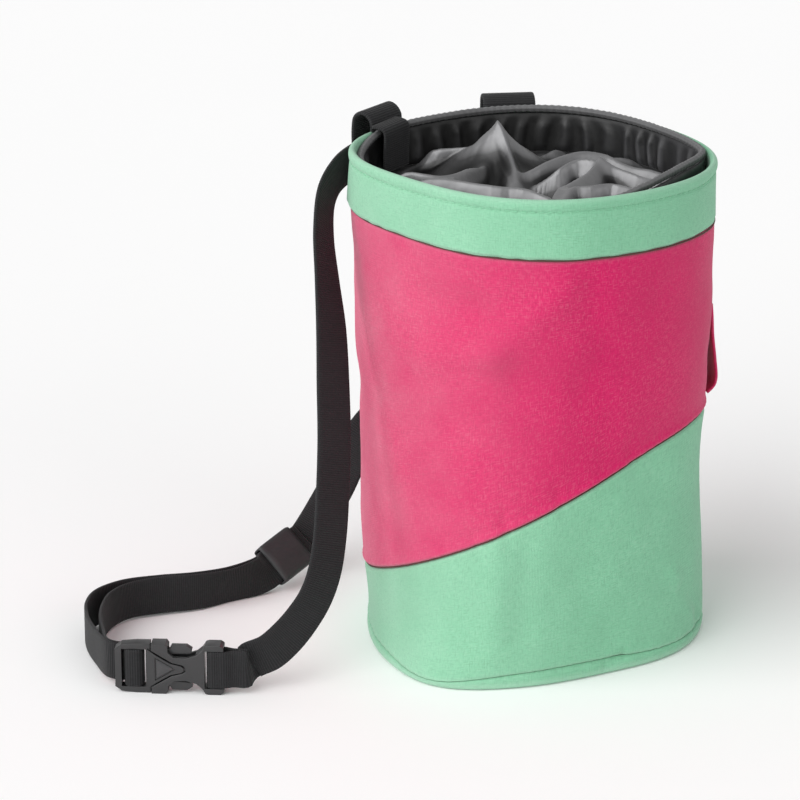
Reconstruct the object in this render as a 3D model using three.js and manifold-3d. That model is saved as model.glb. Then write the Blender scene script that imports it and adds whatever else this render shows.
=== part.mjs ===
// Climbing chalk bag with its waist belt, in millimetres, +Z up.
// The origin is the middle of the base on the floor, +X is right and +Y is away from the front.
import * as THREE from "three";
import { mergeVertices } from "three/addons/utils/BufferGeometryUtils.js";
import Module from "manifold-3d";

const wasm = await Module();
wasm.setup();

// Bag body
const HEIGHT = 192;
const RIM_RADIUS = 67.6;
const BASE_RADIUS = 67.2;
const WALL = 2.4;
const FIT = 0.3;
const SIDES = 56;

// Base, with the rolled seam where it meets the wall
const BASE_SEAM = 5;
const BASE_CORNER = 2.2;
const SEAM_ROLL = 0.7;

// Slanting seam between the middle and the lower panel, lowest on the left
const SLANT_MIDDLE = 59.5;
const SLANT_RISE = 33.6;
const SLANT_TURN = -15;

// Band round the rim, a little taller on the right, whose lower lip stands proud, most on the left
const BAND_HEIGHT = 22.6;
const BAND_LEAN = 1;
const LIP_PROUD = 0.8;
const LIP_LEAN = 0.5;
const RIM_ROUND = 0.6;

// Twisting collar inside the rim
const COLLAR_DEPTH = 18;
const COLLAR_WALL = 1.2;
const GATHERS = 40;
const GATHER_DEEP = 0.9;
const PIPING = 2.8;
const PIPING_LIFT = 1;
const FLAT_FROM = -56;
const FLAT_TO = -2;

// Crumpled closure skirt, from the foot of the collar to its hem
const SKIRT_WALL = 1.4;
const SKIRT_DROP = 1.5;
const HEM_RADIUS = 16;
const HEM_DEEP = 17;
const FOLD_HEIGHT = 13;

// Webbing
const STRAP_WIDTH = 15;
const STRAP_THICK = 1.4;
const LAYER_GAP = 0.5;
const FLOOR_CLEAR = 0.4;
const BELT_REACH = 107;
const LOOP_WIDTH = 21;
const LOOP_THICK = 1.4;
const LOOP_STAND = 7.5;
const LOOP_HANG = 31;
const BELT_BELOW_RIM = 12;
const ROLL_RADIUS = 4.5;
const TAB_WIDTH = 18.4;
const TAB_HANG = 15;
const TAB_STAND = 2.1;

// Strap keeper
const KEEPER_LENGTH = 14;
const KEEPER_WALL = 1;
const KEEPER_ROOM = 0.5;

// Side release buckle, standing on its edge
const BUCKLE_LENGTH = 41.3;
const BUCKLE_TALL = 20;
const BUCKLE_THICK = 6.4;
const FRAME_THICK = 4.6;
const BAR_THICK = 3;
const RUNG_THICK = 1.8;
const PRONG_THICK = 2.6;
const BUCKLE_TURN = -3.5;
const FACE_RECESS = 0.7;

// Loop of cloth on the right side
const SIDE_LOOP_TURN = 9;
const SIDE_LOOP_WIDTH = 20;
const SIDE_LOOP_THICK = 1.1;
const SIDE_LOOP_TOP = 131;
const SIDE_LOOP_TALL = 36;
const SIDE_LOOP_STAND = 3.2;

// Waves of the outline round the bag, as shares of the radius at the rim and at the base
const OUTLINE = [
  { wave: 1, rimCos: 0, rimSin: 0, baseCos: -0.02, baseSin: 0 },
  { wave: 2, rimCos: 0.002, rimSin: -0.03, baseCos: -0.005, baseSin: 0.037 },
  { wave: 3, rimCos: -0.017, rimSin: 0.008, baseCos: 0.04, baseSin: 0.005 },
  { wave: 4, rimCos: 0.023, rimSin: -0.017, baseCos: -0.006, baseSin: -0.014 },
];

// Soft dents of the wall, and bulges where deep is negative: turn and half width in degrees, height
// and half height as shares of HEIGHT, depth as a share of RIM_RADIUS
const DENTS = [
  { turn: -119, up: 0, wide: 16, tall: 0.12, deep: -0.062 },
  { turn: -37, up: 0, wide: 24, tall: 0.1, deep: -0.024 },
  { turn: 180, up: 0.06, wide: 35, tall: 0.07, deep: 0.018 },
  { turn: 180, up: 0.52, wide: 70, tall: 0.05, deep: 0.016 },
  { turn: 0, up: 0.34, wide: 60, tall: 0.17, deep: 0.036 },
  { turn: -75, up: 0.2, wide: 9, tall: 0.16, deep: 0.012 },
  { turn: -45, up: 0.24, wide: 8, tall: 0.18, deep: 0.014 },
  { turn: -60, up: 0.07, wide: 10, tall: 0.06, deep: 0.016 },
  { turn: -95, up: 0.48, wide: 22, tall: 0.06, deep: 0.01 },
  { turn: -125, up: 0.62, wide: 16, tall: 0.2, deep: 0.008 },
  { turn: -55, up: 0.62, wide: 18, tall: 0.14, deep: 0.009 },
  { turn: 60, up: 0.4, wide: 20, tall: 0.2, deep: 0.012 },
  { turn: 115, up: 0.3, wide: 18, tall: 0.2, deep: 0.012 },
];

// Crests of the crumpled skirt, joined end to end within a fold: across and away are shares of
// the collar's radius, high is a share of FOLD_HEIGHT, and wide a share of the collar's radius
const FOLDS = [
  {
    name: "back spike",
    wide: 0.1,
    crest: [
      { across: -0.34, away: 0.62, high: 0.5 },
      { across: -0.21, away: 0.56, high: 1.5 },
      { across: -0.1, away: 0.5, high: 0.55 },
    ],
  },
  {
    name: "upper left",
    wide: 0.11,
    crest: [
      { across: -0.6, away: 0.58, high: 0.5 },
      { across: -0.42, away: 0.5, high: 0.7 },
      { across: -0.26, away: 0.36, high: 0.65 },
      { across: -0.12, away: 0.22, high: 0.2 },
    ],
  },
  {
    name: "lower left",
    wide: 0.1,
    crest: [
      { across: -0.82, away: 0.04, high: 0.45 },
      { across: -0.58, away: -0.05, high: 0.7 },
      { across: -0.38, away: 0.0, high: 0.7 },
      { across: -0.28, away: 0.2, high: 0.5 },
    ],
  },
  {
    name: "front",
    wide: 0.11,
    crest: [
      { across: -0.72, away: -0.26, high: 0.5 },
      { across: -0.44, away: -0.24, high: 0.75 },
      { across: -0.2, away: -0.32, high: 0.75 },
      { across: 0.06, away: -0.6, high: 0.55 },
    ],
  },
  {
    name: "big right",
    wide: 0.11,
    crest: [
      { across: 0.0, away: 0.32, high: 0.4 },
      { across: 0.2, away: 0.42, high: 0.8 },
      { across: 0.38, away: 0.38, high: 0.85 },
      { across: 0.56, away: 0.24, high: 0.7 },
      { across: 0.76, away: 0.14, high: 0.4 },
    ],
  },
  {
    name: "second right",
    wide: 0.1,
    crest: [
      { across: 0.08, away: -0.2, high: 0.3 },
      { across: 0.26, away: 0.06, high: 0.85 },
      { across: 0.42, away: 0.0, high: 0.8 },
      { across: 0.7, away: -0.16, high: 0.6 },
    ],
  },
  {
    name: "small front right",
    wide: 0.09,
    crest: [
      { across: 0.18, away: -0.54, high: 0.5 },
      { across: 0.36, away: -0.44, high: 0.7 },
      { across: 0.56, away: -0.44, high: 0.5 },
    ],
  },
];

// Belt loops on the rim: turn of the middle in degrees, rise above the rim
const LOOPS = [
  { name: "belt_loop_left", turn: 146.5, rise: 7 },
  { name: "belt_loop_back", turn: 97, rise: 4.8 },
];

// Turns from a loop's middle, in degrees, at which the belt runs straight through it
const LOOP_SPREAD = [9, 3, -3, -9];

// Belt strand from the buckle up to the left loop: left is the distance beyond the bag's left
// side as a share of BELT_REACH, away a share of RIM_RADIUS, up the centre's height as a share of
// HEIGHT, and face the compass angle that the webbing's outer face looks to
const FRONT_STRAND = [
  { left: 0.38, away: -1.03, up: 0.06, face: -92 },
  { left: 0.31, away: -1.02, up: 0.078, face: -88 },
  { left: 0.252, away: -0.99, up: 0.104, face: -80 },
  { left: 0.196, away: -0.96, up: 0.14, face: -70 },
  { left: 0.148, away: -0.93, up: 0.182, face: -63 },
  { left: 0.116, away: -0.88, up: 0.23, face: -60 },
  { left: 0.097, away: -0.81, up: 0.295, face: -58 },
  { left: 0.088, away: -0.72, up: 0.375, face: -58 },
  { left: 0.083, away: -0.6, up: 0.47, face: -58 },
  { left: 0.087, away: -0.48, up: 0.565, face: -56 },
  { left: 0.094, away: -0.35, up: 0.67, face: -49 },
  { left: 0.109, away: -0.23, up: 0.76, face: -38 },
  { left: 0.122, away: -0.1, up: 0.84, face: -33 },
  { left: 0.115, away: 0.04, up: 0.9, face: -33 },
  { left: 0.082, away: 0.19, up: 0.93, face: -32 },
];

// Belt strand from behind the bag, through the keeper and round the left bend to the buckle, with
// the same columns; lean is how far its upper edge leans inwards, in degrees, and inset the extra
// room between the two layers, as a share of BELT_REACH
const BACK_STRAND = [
  { left: -0.46, away: 1.17, up: 0.58, face: 92, lean: 0, inset: 0 },
  { left: -0.2, away: 1.09, up: 0.4, face: 86, lean: 0, inset: 0 },
  { left: 0.0, away: 0.97, up: 0.282, face: 74, lean: 4, inset: 0 },
  { left: 0.1, away: 0.87, up: 0.175, face: 64, lean: 10, inset: 0 },
  { left: 0.215, away: 0.755, up: 0.076, face: 56, lean: 18, inset: 0 },
  { left: 0.372, away: 0.46, up: 0.0412, face: 56, lean: 18, inset: 0 },
  { left: 0.49, away: 0.31, up: 0.0412, face: 62, lean: 12, inset: 0.002 },
  { left: 0.61, away: 0.2, up: 0.0412, face: 72, lean: 10, inset: 0.006 },
  { left: 0.75, away: 0.14, up: 0.0412, face: 84, lean: 8, inset: 0.014 },
  { left: 0.88, away: 0.07, up: 0.0412, face: 108, lean: 4, inset: 0.03 },
  { left: 0.965, away: -0.07, up: 0.0412, face: 145, lean: 2, inset: 0.045 },
  { left: 0.995, away: -0.24, up: 0.0412, face: 175, lean: 0, inset: 0.045 },
  { left: 0.983, away: -0.46, up: 0.0412, face: 194, lean: 0, inset: 0.03 },
  { left: 0.94, away: -0.7, up: 0.0443, face: 218, lean: 0, inset: 0.01 },
];

// The keeper sits on the straight stretch between this row of the back strand and the next
const KEEPER_ROW = 4;

const MINT = 0x93d3b1;
const PINK = 0xdb3f73;
const NYLON = 0x6c6c6e;
const DARK_NYLON = 0x3c3c3e;
const WEBBING = 0x2b2b2c;
const PLASTIC = 0x3a3a3c;

const radians = (degrees) => (degrees * Math.PI) / 180;
const mix = (a, b, share) => a + (b - a) * share;
const bell = (x) => Math.exp(-x * x);
const turnBetween = (a, b) => ((((a - b) % 360) + 540) % 360) - 180;
const polar = (turn, radius, height) =>
  new THREE.Vector3(radius * Math.cos(radians(turn)), radius * Math.sin(radians(turn)), height);

const model = new THREE.Group();

function addPiece(name, geometry, color, roughness, metalness = 0) {
  const material = new THREE.MeshStandardMaterial({ color, roughness, metalness });
  const mesh = new THREE.Mesh(geometry, material);
  mesh.name = name;
  model.add(mesh);
  return mesh;
}

// Volume of a closed skin, negative when its faces point inwards
function signedVolume(points, faces) {
  let volume = 0;
  for (const [a, b, c] of faces) {
    volume += points[a].dot(new THREE.Vector3().crossVectors(points[b], points[c])) / 6;
  }
  return volume;
}

function skin(points, faces) {
  const outward = signedVolume(points, faces) > 0;
  const index = faces.flatMap(([a, b, c]) => (outward ? [a, b, c] : [a, c, b]));
  const geometry = new THREE.BufferGeometry();
  geometry.setAttribute(
    "position",
    new THREE.Float32BufferAttribute(points.flatMap((p) => [p.x, p.y, p.z]), 3),
  );
  geometry.setIndex(index);
  return geometry;
}

// Quads between neighbouring loops of points; loops are closed, and the row of loops may be too
function quadFaces(loops, width, closed) {
  const faces = [];
  const last = closed ? loops : loops - 1;
  for (let row = 0; row < last; row += 1) {
    const next = (row + 1) % loops;
    for (let i = 0; i < width; i += 1) {
      const j = (i + 1) % width;
      const a = row * width + i;
      const b = row * width + j;
      const c = next * width + j;
      const d = next * width + i;
      faces.push([a, b, c], [a, c, d]);
    }
  }
  return faces;
}

// A ring round the bag: section(turn) gives its closed outline there as radius and height pairs
function ring(count, section) {
  const points = [];
  let width = 0;
  for (let step = 0; step < count; step += 1) {
    const turn = (360 * step) / count;
    const outline = section(turn);
    width = outline.length;
    points.push(...outline.map(([radius, height]) => polar(turn, radius, height)));
  }
  return skin(points, quadFaces(count, width, true));
}

// A bar along a path: each section is a convex loop of points, and both ends are capped
function bar(sections) {
  const width = sections[0].length;
  const points = sections.flat();
  const faces = quadFaces(sections.length, width, false);
  const end = (sections.length - 1) * width;
  for (let i = 1; i < width - 1; i += 1) {
    faces.push([0, i + 1, i], [end, end + i, end + i + 1]);
  }
  return skin(points, faces);
}

// A rectangle of webbing at a point, across its width and its thickness
function webSection(point, wide, thick, width, thickness) {
  const corners = [[-1, -1], [1, -1], [1, 1], [-1, 1]];
  return corners.map(([a, b]) =>
    point
      .clone()
      .addScaledVector(wide, (a * width) / 2)
      .addScaledVector(thick, (b * thickness) / 2),
  );
}

function solid(geometry) {
  const bare = geometry.clone();
  bare.deleteAttribute("normal");
  bare.deleteAttribute("uv");
  const merged = mergeVertices(bare, 1e-4);
  return new wasm.Manifold(
    new wasm.Mesh({
      numProp: 3,
      vertProperties: new Float32Array(merged.attributes.position.array),
      triVerts: new Uint32Array(merged.index.array),
    }),
  );
}

function geometryOf(body) {
  const mesh = body.getMesh();
  const geometry = new THREE.BufferGeometry();
  geometry.setAttribute("position", new THREE.BufferAttribute(mesh.vertProperties, 3));
  geometry.setIndex(new THREE.BufferAttribute(mesh.triVerts, 1));
  return geometry;
}

// Outer radius of the cloth wall: the waves fade from the base's to the rim's, less the dents
function wallAt(turn, height) {
  const up = height / HEIGHT;
  let waves = 0;
  for (const row of OUTLINE) {
    const angle = radians(row.wave * turn);
    waves += mix(row.baseCos, row.rimCos, up) * Math.cos(angle);
    waves += mix(row.baseSin, row.rimSin, up) * Math.sin(angle);
  }
  let radius = mix(BASE_RADIUS, RIM_RADIUS, up) * (1 + waves);
  for (const dent of DENTS) {
    const aside = turnBetween(turn, dent.turn) / dent.wide;
    radius -= dent.deep * RIM_RADIUS * bell(aside) * bell((up - dent.up) / dent.tall);
  }
  return radius;
}

const slantAt = (turn) => SLANT_MIDDLE + SLANT_RISE * Math.cos(radians(turn - SLANT_TURN));
const lipAt = (turn) => LIP_PROUD - LIP_LEAN * Math.cos(radians(turn));
const bandFoot = (turn) => HEIGHT - BAND_HEIGHT - BAND_LEAN * Math.cos(radians(turn));

function addBase() {
  const rows = (turn) => {
    const foot = wallAt(turn, 0);
    const top = BASE_SEAM - FIT;
    const side = wallAt(turn, top) + SEAM_ROLL;
    return [
      [foot - BASE_CORNER, 0],
      [foot - BASE_CORNER * 0.3, BASE_CORNER * 0.3],
      [side - SEAM_ROLL, BASE_CORNER],
      [side, (BASE_CORNER + top) / 2],
      [side - SEAM_ROLL, top],
      [side - SEAM_ROLL - WALL, top],
      [side - SEAM_ROLL - WALL, WALL + BASE_CORNER * 0.3],
      [foot - WALL - BASE_CORNER, WALL],
    ];
  };
  const points = [];
  let width = 0;
  for (let step = 0; step < SIDES; step += 1) {
    const turn = (360 * step) / SIDES;
    const outline = rows(turn);
    width = outline.length;
    points.push(...outline.map(([radius, height]) => polar(turn, radius, height)));
  }
  const under = points.push(new THREE.Vector3(0, 0, 0)) - 1;
  const over = points.push(new THREE.Vector3(0, 0, WALL)) - 1;
  const faces = [];
  for (let step = 0; step < SIDES; step += 1) {
    const here = step * width;
    const next = ((step + 1) % SIDES) * width;
    for (let i = 0; i < width - 1; i += 1) {
      faces.push([here + i, here + i + 1, next + i + 1], [here + i, next + i + 1, next + i]);
    }
    faces.push([under, here, next], [over, next + width - 1, here + width - 1]);
  }
  addPiece("base_panel", skin(points, faces), MINT, 0.85);
}

// A cloth panel of the wall between two heights, whose top edge or foot may stand proud
function panel(low, high, outerRows, innerRows, footProud) {
  return ring(SIDES, (turn) => {
    const from = low(turn);
    const to = high(turn);
    const at = (share) => mix(from, to, share);
    const outer = outerRows.map((share) => {
      const proud = footProud * Math.max(0, 1 - share * 8);
      return [wallAt(turn, at(share)) + proud, at(share)];
    });
    const inner = innerRows.map((share) => [wallAt(turn, at(share)) - WALL, at(share)]);
    return [...outer, ...inner];
  });
}

function addPanels() {
  const lower = panel(
    () => BASE_SEAM,
    (turn) => slantAt(turn) - FIT,
    [0, 0.25, 0.5, 0.75, 1],
    [1, 0.5, 0],
    0,
  );
  addPiece("lower_panel", lower, MINT, 0.85);
  const middle = panel(
    (turn) => slantAt(turn),
    (turn) => bandFoot(turn) - FIT,
    [0, 0.1, 0.3, 0.5, 0.75, 1],
    [1, 0.5, 0],
    SEAM_ROLL,
  );
  addPiece("middle_panel", middle, PINK, 0.85);
}

function addRimBand() {
  const band = ring(SIDES, (turn) => {
    const foot = bandFoot(turn);
    const edge = HEIGHT - WALL / 2;
    const outer = (height, share) => [wallAt(turn, height) + share * lipAt(turn), height];
    const rim = wallAt(turn, HEIGHT);
    return [
      outer(foot, 1),
      outer(mix(foot, edge, 0.35), 0.7),
      outer(mix(foot, edge, 0.7), 0.3),
      outer(edge, 0),
      [rim - RIM_ROUND, HEIGHT],
      [rim - WALL + RIM_ROUND, HEIGHT],
      [wallAt(turn, edge) - WALL, edge],
      [wallAt(turn, foot) - WALL, foot],
    ];
  });
  addPiece("rim_band", band, MINT, 0.85);
}

// Outer radius of the collar: it hugs the rim band, but runs straight across at the front right
function collarAt(turn, height) {
  const hug = wallAt(turn, height) - WALL - FIT;
  const middle = (FLAT_FROM + FLAT_TO) / 2;
  const half = (FLAT_TO - FLAT_FROM) / 2;
  const aside = turnBetween(turn, middle);
  if (Math.abs(aside) > half) {
    return hug;
  }
  const corner = (wallAt(FLAT_FROM, height) + wallAt(FLAT_TO, height)) / 2 - WALL - FIT;
  return Math.min(hug, (corner * Math.cos(radians(half))) / Math.cos(radians(aside)));
}

const pipingHeight = (turn) => HEIGHT - 0.6 + PIPING_LIFT * 1.5 * bell(turnBetween(turn, 100) / 55);
const collarFoot = HEIGHT - COLLAR_DEPTH;
const pipingRadius = (turn) => collarAt(turn, HEIGHT) - PIPING / 2;

// Depth of the gathers of the collar, from 0 between them to 1 on their crests
function gatherAt(turn) {
  const wander = 0.9 * Math.sin(radians(5 * turn)) + 0.5 * Math.sin(radians(11 * turn));
  return 0.5 + 0.5 * Math.cos(radians(GATHERS * turn) + wander);
}

function addCollar() {
  const collar = ring(GATHERS * 4, (turn) => {
    const top = pipingHeight(turn) - PIPING / 2 - FIT;
    const outer = (height) => collarAt(turn, height);
    const deep = COLLAR_WALL + GATHER_DEEP * gatherAt(turn);
    const middle = mix(collarFoot, top, 0.6);
    return [
      [outer(collarFoot), collarFoot],
      [outer(top), top],
      [outer(top) - COLLAR_WALL, top],
      [outer(middle) - deep, middle],
      [outer(collarFoot) - COLLAR_WALL, collarFoot],
    ];
  });
  addPiece("collar_wall", collar, DARK_NYLON, 0.6);
  const piping = ring(64, (turn) => {
    const outline = [];
    for (let i = 0; i < 6; i += 1) {
      const around = radians(60 * i);
      outline.push([
        pipingRadius(turn) + (PIPING / 2) * Math.cos(around),
        pipingHeight(turn) + (PIPING / 2) * Math.sin(around),
      ]);
    }
    return outline;
  });
  addPiece("collar_piping", piping, NYLON, 0.6);
}

// Distance from a point to a stretch of crest, and how far along that stretch it falls
function nearCrest(x, y, from, to) {
  const dx = to.across - from.across;
  const dy = to.away - from.away;
  const along = ((x - from.across) * dx + (y - from.away) * dy) / (dx * dx + dy * dy);
  const share = Math.min(1, Math.max(0, along));
  return { gap: Math.hypot(x - from.across - share * dx, y - from.away - share * dy), share };
}

// Height of the folds over a point, given as shares of the collar's radius
function foldHeight(x, y) {
  let total = 0;
  for (const fold of FOLDS) {
    let best = 0;
    for (let i = 0; i + 1 < fold.crest.length; i += 1) {
      const from = fold.crest[i];
      const to = fold.crest[i + 1];
      const { gap, share } = nearCrest(x, y, from, to);
      best = Math.max(best, mix(from.high, to.high, share) * bell(gap / fold.wide));
    }
    total = Math.max(total, best) + 0.3 * Math.min(total, best);
  }
  return FOLD_HEIGHT * total;
}

const SKIRT_ROWS = [0, 0.1, 0.22, 0.34, 0.46, 0.58, 0.7, 0.82, 0.92, 1];

function skirtPoint(turn, share) {
  const outer = collarAt(turn, collarFoot) - COLLAR_WALL - FIT;
  const radius = mix(outer, HEM_RADIUS, share);
  const x = (radius * Math.cos(radians(turn))) / RIM_RADIUS;
  const y = (radius * Math.sin(radians(turn))) / RIM_RADIUS;
  const edge = Math.min(1, share * 6);
  const hem = Math.max(0, (share - 0.6) / 0.4);
  const height =
    collarFoot + SKIRT_WALL - SKIRT_DROP * Math.sin(Math.PI * share) - HEM_DEEP * hem * hem;
  return [radius, height + foldHeight(x, y) * edge * (1 - hem * hem)];
}

function addSkirt() {
  const skirt = ring(SIDES + 8, (turn) => {
    const top = SKIRT_ROWS.map((share) => skirtPoint(turn, share));
    const under = [...top].reverse().map(([radius, height]) => [radius, height - SKIRT_WALL]);
    return [...top, ...under];
  });
  addPiece("closure_skirt", skirt, NYLON, 0.4);
}

// Belt loop: sewn to the rim's top, arched outward over the belt and down to the wall below it
function loopPath(loop) {
  const rows = [
    { off: -WALL / 2, up: FIT },
    { off: -WALL / 2, up: loop.rise * 0.45 },
    { off: LOOP_STAND * 0.1, up: loop.rise * 0.85 },
    { off: LOOP_STAND * 0.5, up: loop.rise },
    { off: LOOP_STAND * 0.88, up: loop.rise * 0.75 },
    { off: LOOP_STAND, up: loop.rise * 0.2 },
    { off: LOOP_STAND, up: -LOOP_HANG * 0.35 },
    { off: LOOP_STAND, up: -BELT_BELOW_RIM - STRAP_WIDTH / 2 - LAYER_GAP },
    { off: LOOP_STAND * 0.6, up: -LOOP_HANG * 0.78 },
    { off: lipAt(loop.turn) + FIT + LOOP_THICK / 2, up: -LOOP_HANG * 0.9 },
    { off: FIT + LOOP_THICK / 2, up: -LOOP_HANG },
    { off: FIT + LOOP_THICK / 2, up: -LOOP_HANG * 1.12 },
  ];
  return rows.map(({ off, up }) => {
    const height = HEIGHT + up;
    return [wallAt(loop.turn, Math.min(height, HEIGHT)) + off, height];
  });
}

// A strip bent in the upright plane at a turn, its width level: path is radius and height pairs
function uprightStrip(turn, path, width, thickness) {
  const out = polar(turn, 1, 0);
  const level = new THREE.Vector3(-out.y, out.x, 0);
  const points = path.map(([radius, height]) => polar(turn, radius, height));
  return bar(
    points.map((point, i) => {
      const before = points[Math.max(0, i - 1)];
      const after = points[Math.min(points.length - 1, i + 1)];
      const along = after.clone().sub(before).normalize();
      const thick = new THREE.Vector3().crossVectors(level, along);
      return webSection(point, level, thick, width, thickness);
    }),
  );
}

function addLoops() {
  for (const loop of LOOPS) {
    addPiece(
      loop.name,
      uprightStrip(loop.turn, loopPath(loop), LOOP_WIDTH, LOOP_THICK),
      WEBBING,
      0.9,
    );
  }
}

// Pull tab of the collar: folded over the piping and down inside the collar wall
function addCollarTab() {
  const turn = LOOPS[0].turn;
  const inside = collarAt(turn, HEIGHT) - PIPING - FIT - TAB_STAND - STRAP_THICK / 2;
  const over = pipingHeight(turn) + PIPING / 2 + FIT * 2 + STRAP_THICK / 2;
  const path = [
    [pipingRadius(turn) + PIPING * 0.35, over],
    [pipingRadius(turn) - PIPING * 0.3, over],
    [mix(inside, pipingRadius(turn), 0.25), over - PIPING * 0.2],
    [inside, over - PIPING * 0.6],
    [inside, HEIGHT - TAB_HANG * 0.55],
    [inside, HEIGHT - TAB_HANG],
  ];
  addPiece("collar_tab", uprightStrip(turn, path, TAB_WIDTH, STRAP_THICK), WEBBING, 0.9);
}

// Side loop: a strip of cloth that bulges from the wall, most near its foot
function addSideLoop() {
  const rows = [
    { down: 0, off: 0 },
    { down: 0.12, off: 0.12 },
    { down: 0.35, off: 0.3 },
    { down: 0.6, off: 0.68 },
    { down: 0.84, off: 1 },
    { down: 0.92, off: 0.8 },
    { down: 1, off: 0 },
  ];
  const path = rows.map(({ down, off }) => {
    const height = SIDE_LOOP_TOP - down * SIDE_LOOP_TALL;
    const wall = wallAt(SIDE_LOOP_TURN, height) + FIT + SIDE_LOOP_THICK / 2;
    return [wall + off * SIDE_LOOP_STAND, height];
  });
  addPiece(
    "side_loop",
    uprightStrip(SIDE_LOOP_TURN, path, SIDE_LOOP_WIDTH, SIDE_LOOP_THICK),
    PINK,
    0.85,
  );
}

// Buckle frame: along its length, up its height and out of its front face, from its left foot
const buckleAlong = polar(BUCKLE_TURN, 1, 0);
const buckleUp = new THREE.Vector3(0, 0, 1);
const buckleOut = new THREE.Vector3().crossVectors(buckleAlong, buckleUp);
const buckleLeft = new THREE.Vector3(-(RIM_RADIUS + 0.855 * BELT_REACH), -1.03 * RIM_RADIUS, 0);

function buckleSpot(along, out) {
  return buckleLeft
    .clone()
    .addScaledVector(buckleAlong, along)
    .addScaledVector(buckleUp, BUCKLE_TALL / 2)
    .addScaledVector(buckleOut, out);
}

// A plate in the buckle's frame: outline in shares of its length and height, between two depths
function plate(outline, from, to) {
  const point = ([x, y]) => new THREE.Vector2(x * BUCKLE_LENGTH, y * BUCKLE_TALL);
  const shape = new THREE.Shape(outline.map(point));
  const geometry = new THREE.ExtrudeGeometry(shape, { depth: to - from, bevelEnabled: false });
  geometry.translate(0, 0, from);
  return solid(geometry);
}

const oblong = (left, low, right, high) => [[left, low], [right, low], [right, high], [left, high]];

// The lower half of an outline and its mirror image above the buckle's middle line
const mirrored = (lower) => [...lower, ...[...lower].reverse().map(([x, y]) => [x, 1 - y])];

const placeInBuckle = (body) => {
  const geometry = geometryOf(body);
  const frame = new THREE.Matrix4().makeBasis(buckleAlong, buckleUp, buckleOut);
  frame.setPosition(buckleLeft);
  geometry.applyMatrix4(frame);
  return geometry;
};

// Shares of BUCKLE_LENGTH at which the buckle's parts begin and end
const FRAME_END = 0.325;
const SLOT_ONE = [0.06, 0.13];
const SLOT_TWO = [0.208, 0.285];
const END_SLOT = [0.825, 0.89];
const SHARE_GAP = FIT / BUCKLE_LENGTH;
const ARROW = [[0.3, 0.09], [0.4, 0.22], [0.52, 0.37], [0.62, 0.42], [0.645, 0.46]];

const ARROW_FLARE = (ARROW[1][1] - ARROW[0][1]) / (ARROW[1][0] - ARROW[0][0]);

// The arrow outline grown by extra, its blunt end moved back along its flared sides
const arrowOutline = (extra, back) =>
  mirrored(
    ARROW.map(([x, y], i) =>
      i === 0 ? [x - back, y - extra - back * ARROW_FLARE] : [x + extra, y - extra],
    ),
  );

function addPlug() {
  const half = FRAME_THICK / 2;
  const open = { low: 0.12, high: 0.88 };
  const frame = mirrored([[0, 0.12], [0.06, 0.03], [0.2, 0], [FRAME_END, 0]]);
  const slot = (ends) => plate(oblong(ends[0], open.low, ends[1], open.high), -half - 1, half + 1);
  const body = plate(frame, -half, half).subtract(slot(SLOT_ONE)).subtract(slot(SLOT_TWO));
  const rung = oblong(SLOT_ONE[1] - 0.01, open.low, SLOT_TWO[0] + 0.01, open.high);
  const above = plate(rung, RUNG_THICK / 2, BUCKLE_THICK);
  const below = plate(rung, -BUCKLE_THICK, -RUNG_THICK / 2);
  const prong = [
    [FRAME_END - 0.02, 0.1],
    [0.5, 0.13],
    [0.52, 0.05],
    [0.66, 0.05],
    [0.71, 0.12],
    [0.7, 0.2],
    [0.55, 0.22],
    [FRAME_END - 0.02, 0.24],
  ];
  const flip = (outline) => outline.map(([x, y]) => [x, 1 - y]).reverse();
  const thin = PRONG_THICK / 2;
  const tongue = oblong(FRAME_END - 0.02, 0.42, 0.68, 0.58);
  const front = BUCKLE_THICK / 2;
  const arrow = plate(arrowOutline(-0.012, 0), front - 2, front);
  const neck = plate(oblong(0.29, 0.12, 0.36, 0.88), -thin, front - 1.2);
  const recess = plate([[0.37, 0.26], [0.56, 0.5], [0.37, 0.74]], front - FACE_RECESS, front + 1);
  const plug = body
    .subtract(above)
    .subtract(below)
    .add(plate(prong, -thin, thin))
    .add(plate(flip(prong), -thin, thin))
    .add(plate(tongue, -thin, front - 1.2))
    .add(neck)
    .add(arrow)
    .subtract(recess);
  addPiece("buckle_plug", placeInBuckle(plug), PLASTIC, 0.4);
}

function addSocket() {
  const half = BUCKLE_THICK / 2;
  const start = FRAME_END + SHARE_GAP * 1.5;
  const outline = mirrored([
    [start, 0],
    [0.47, 0],
    [0.49, 0.06],
    [0.49, 0.16],
    [0.54, 0.26],
    [0.66, 0.27],
    [0.75, 0.21],
    [0.8, 0.12],
    [0.83, 0.02],
    [0.86, 0],
    [0.97, 0],
    [1, 0.05],
  ]);
  const room = PRONG_THICK / 2 + FIT;
  const cavity = plate(oblong(start - 0.05, 0.07, 0.74, 0.93), -room, room);
  const side = plate(oblong(0.49, -0.1, 0.74, 1.1), -room, room);
  const slot = plate(oblong(END_SLOT[0], 0.12, END_SLOT[1], 0.88), -half - 1, half + 1);
  const barFace = oblong(END_SLOT[1] - 0.01, 0.12, 1.1, 0.88);
  const vee = plate(arrowOutline(0.004, 0.05), half - 2 - FIT, half + 1);
  const throat = plate(oblong(start - 0.05, 0.11, 0.37, 0.89), -room, half - 1.2 + FIT);
  const keel = plate(oblong(start - 0.05, 0.4, 0.7, 0.6), -room, half - 1.2 + FIT);
  const socket = plate(outline, -half, half)
    .subtract(cavity)
    .subtract(side)
    .subtract(slot)
    .subtract(plate(barFace, BAR_THICK / 2, half + 1))
    .subtract(plate(barFace, -half - 1, -BAR_THICK / 2))
    .subtract(vee)
    .subtract(throat)
    .subtract(keel);
  addPiece("buckle_socket", placeInBuckle(socket), PLASTIC, 0.4);
}

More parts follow.
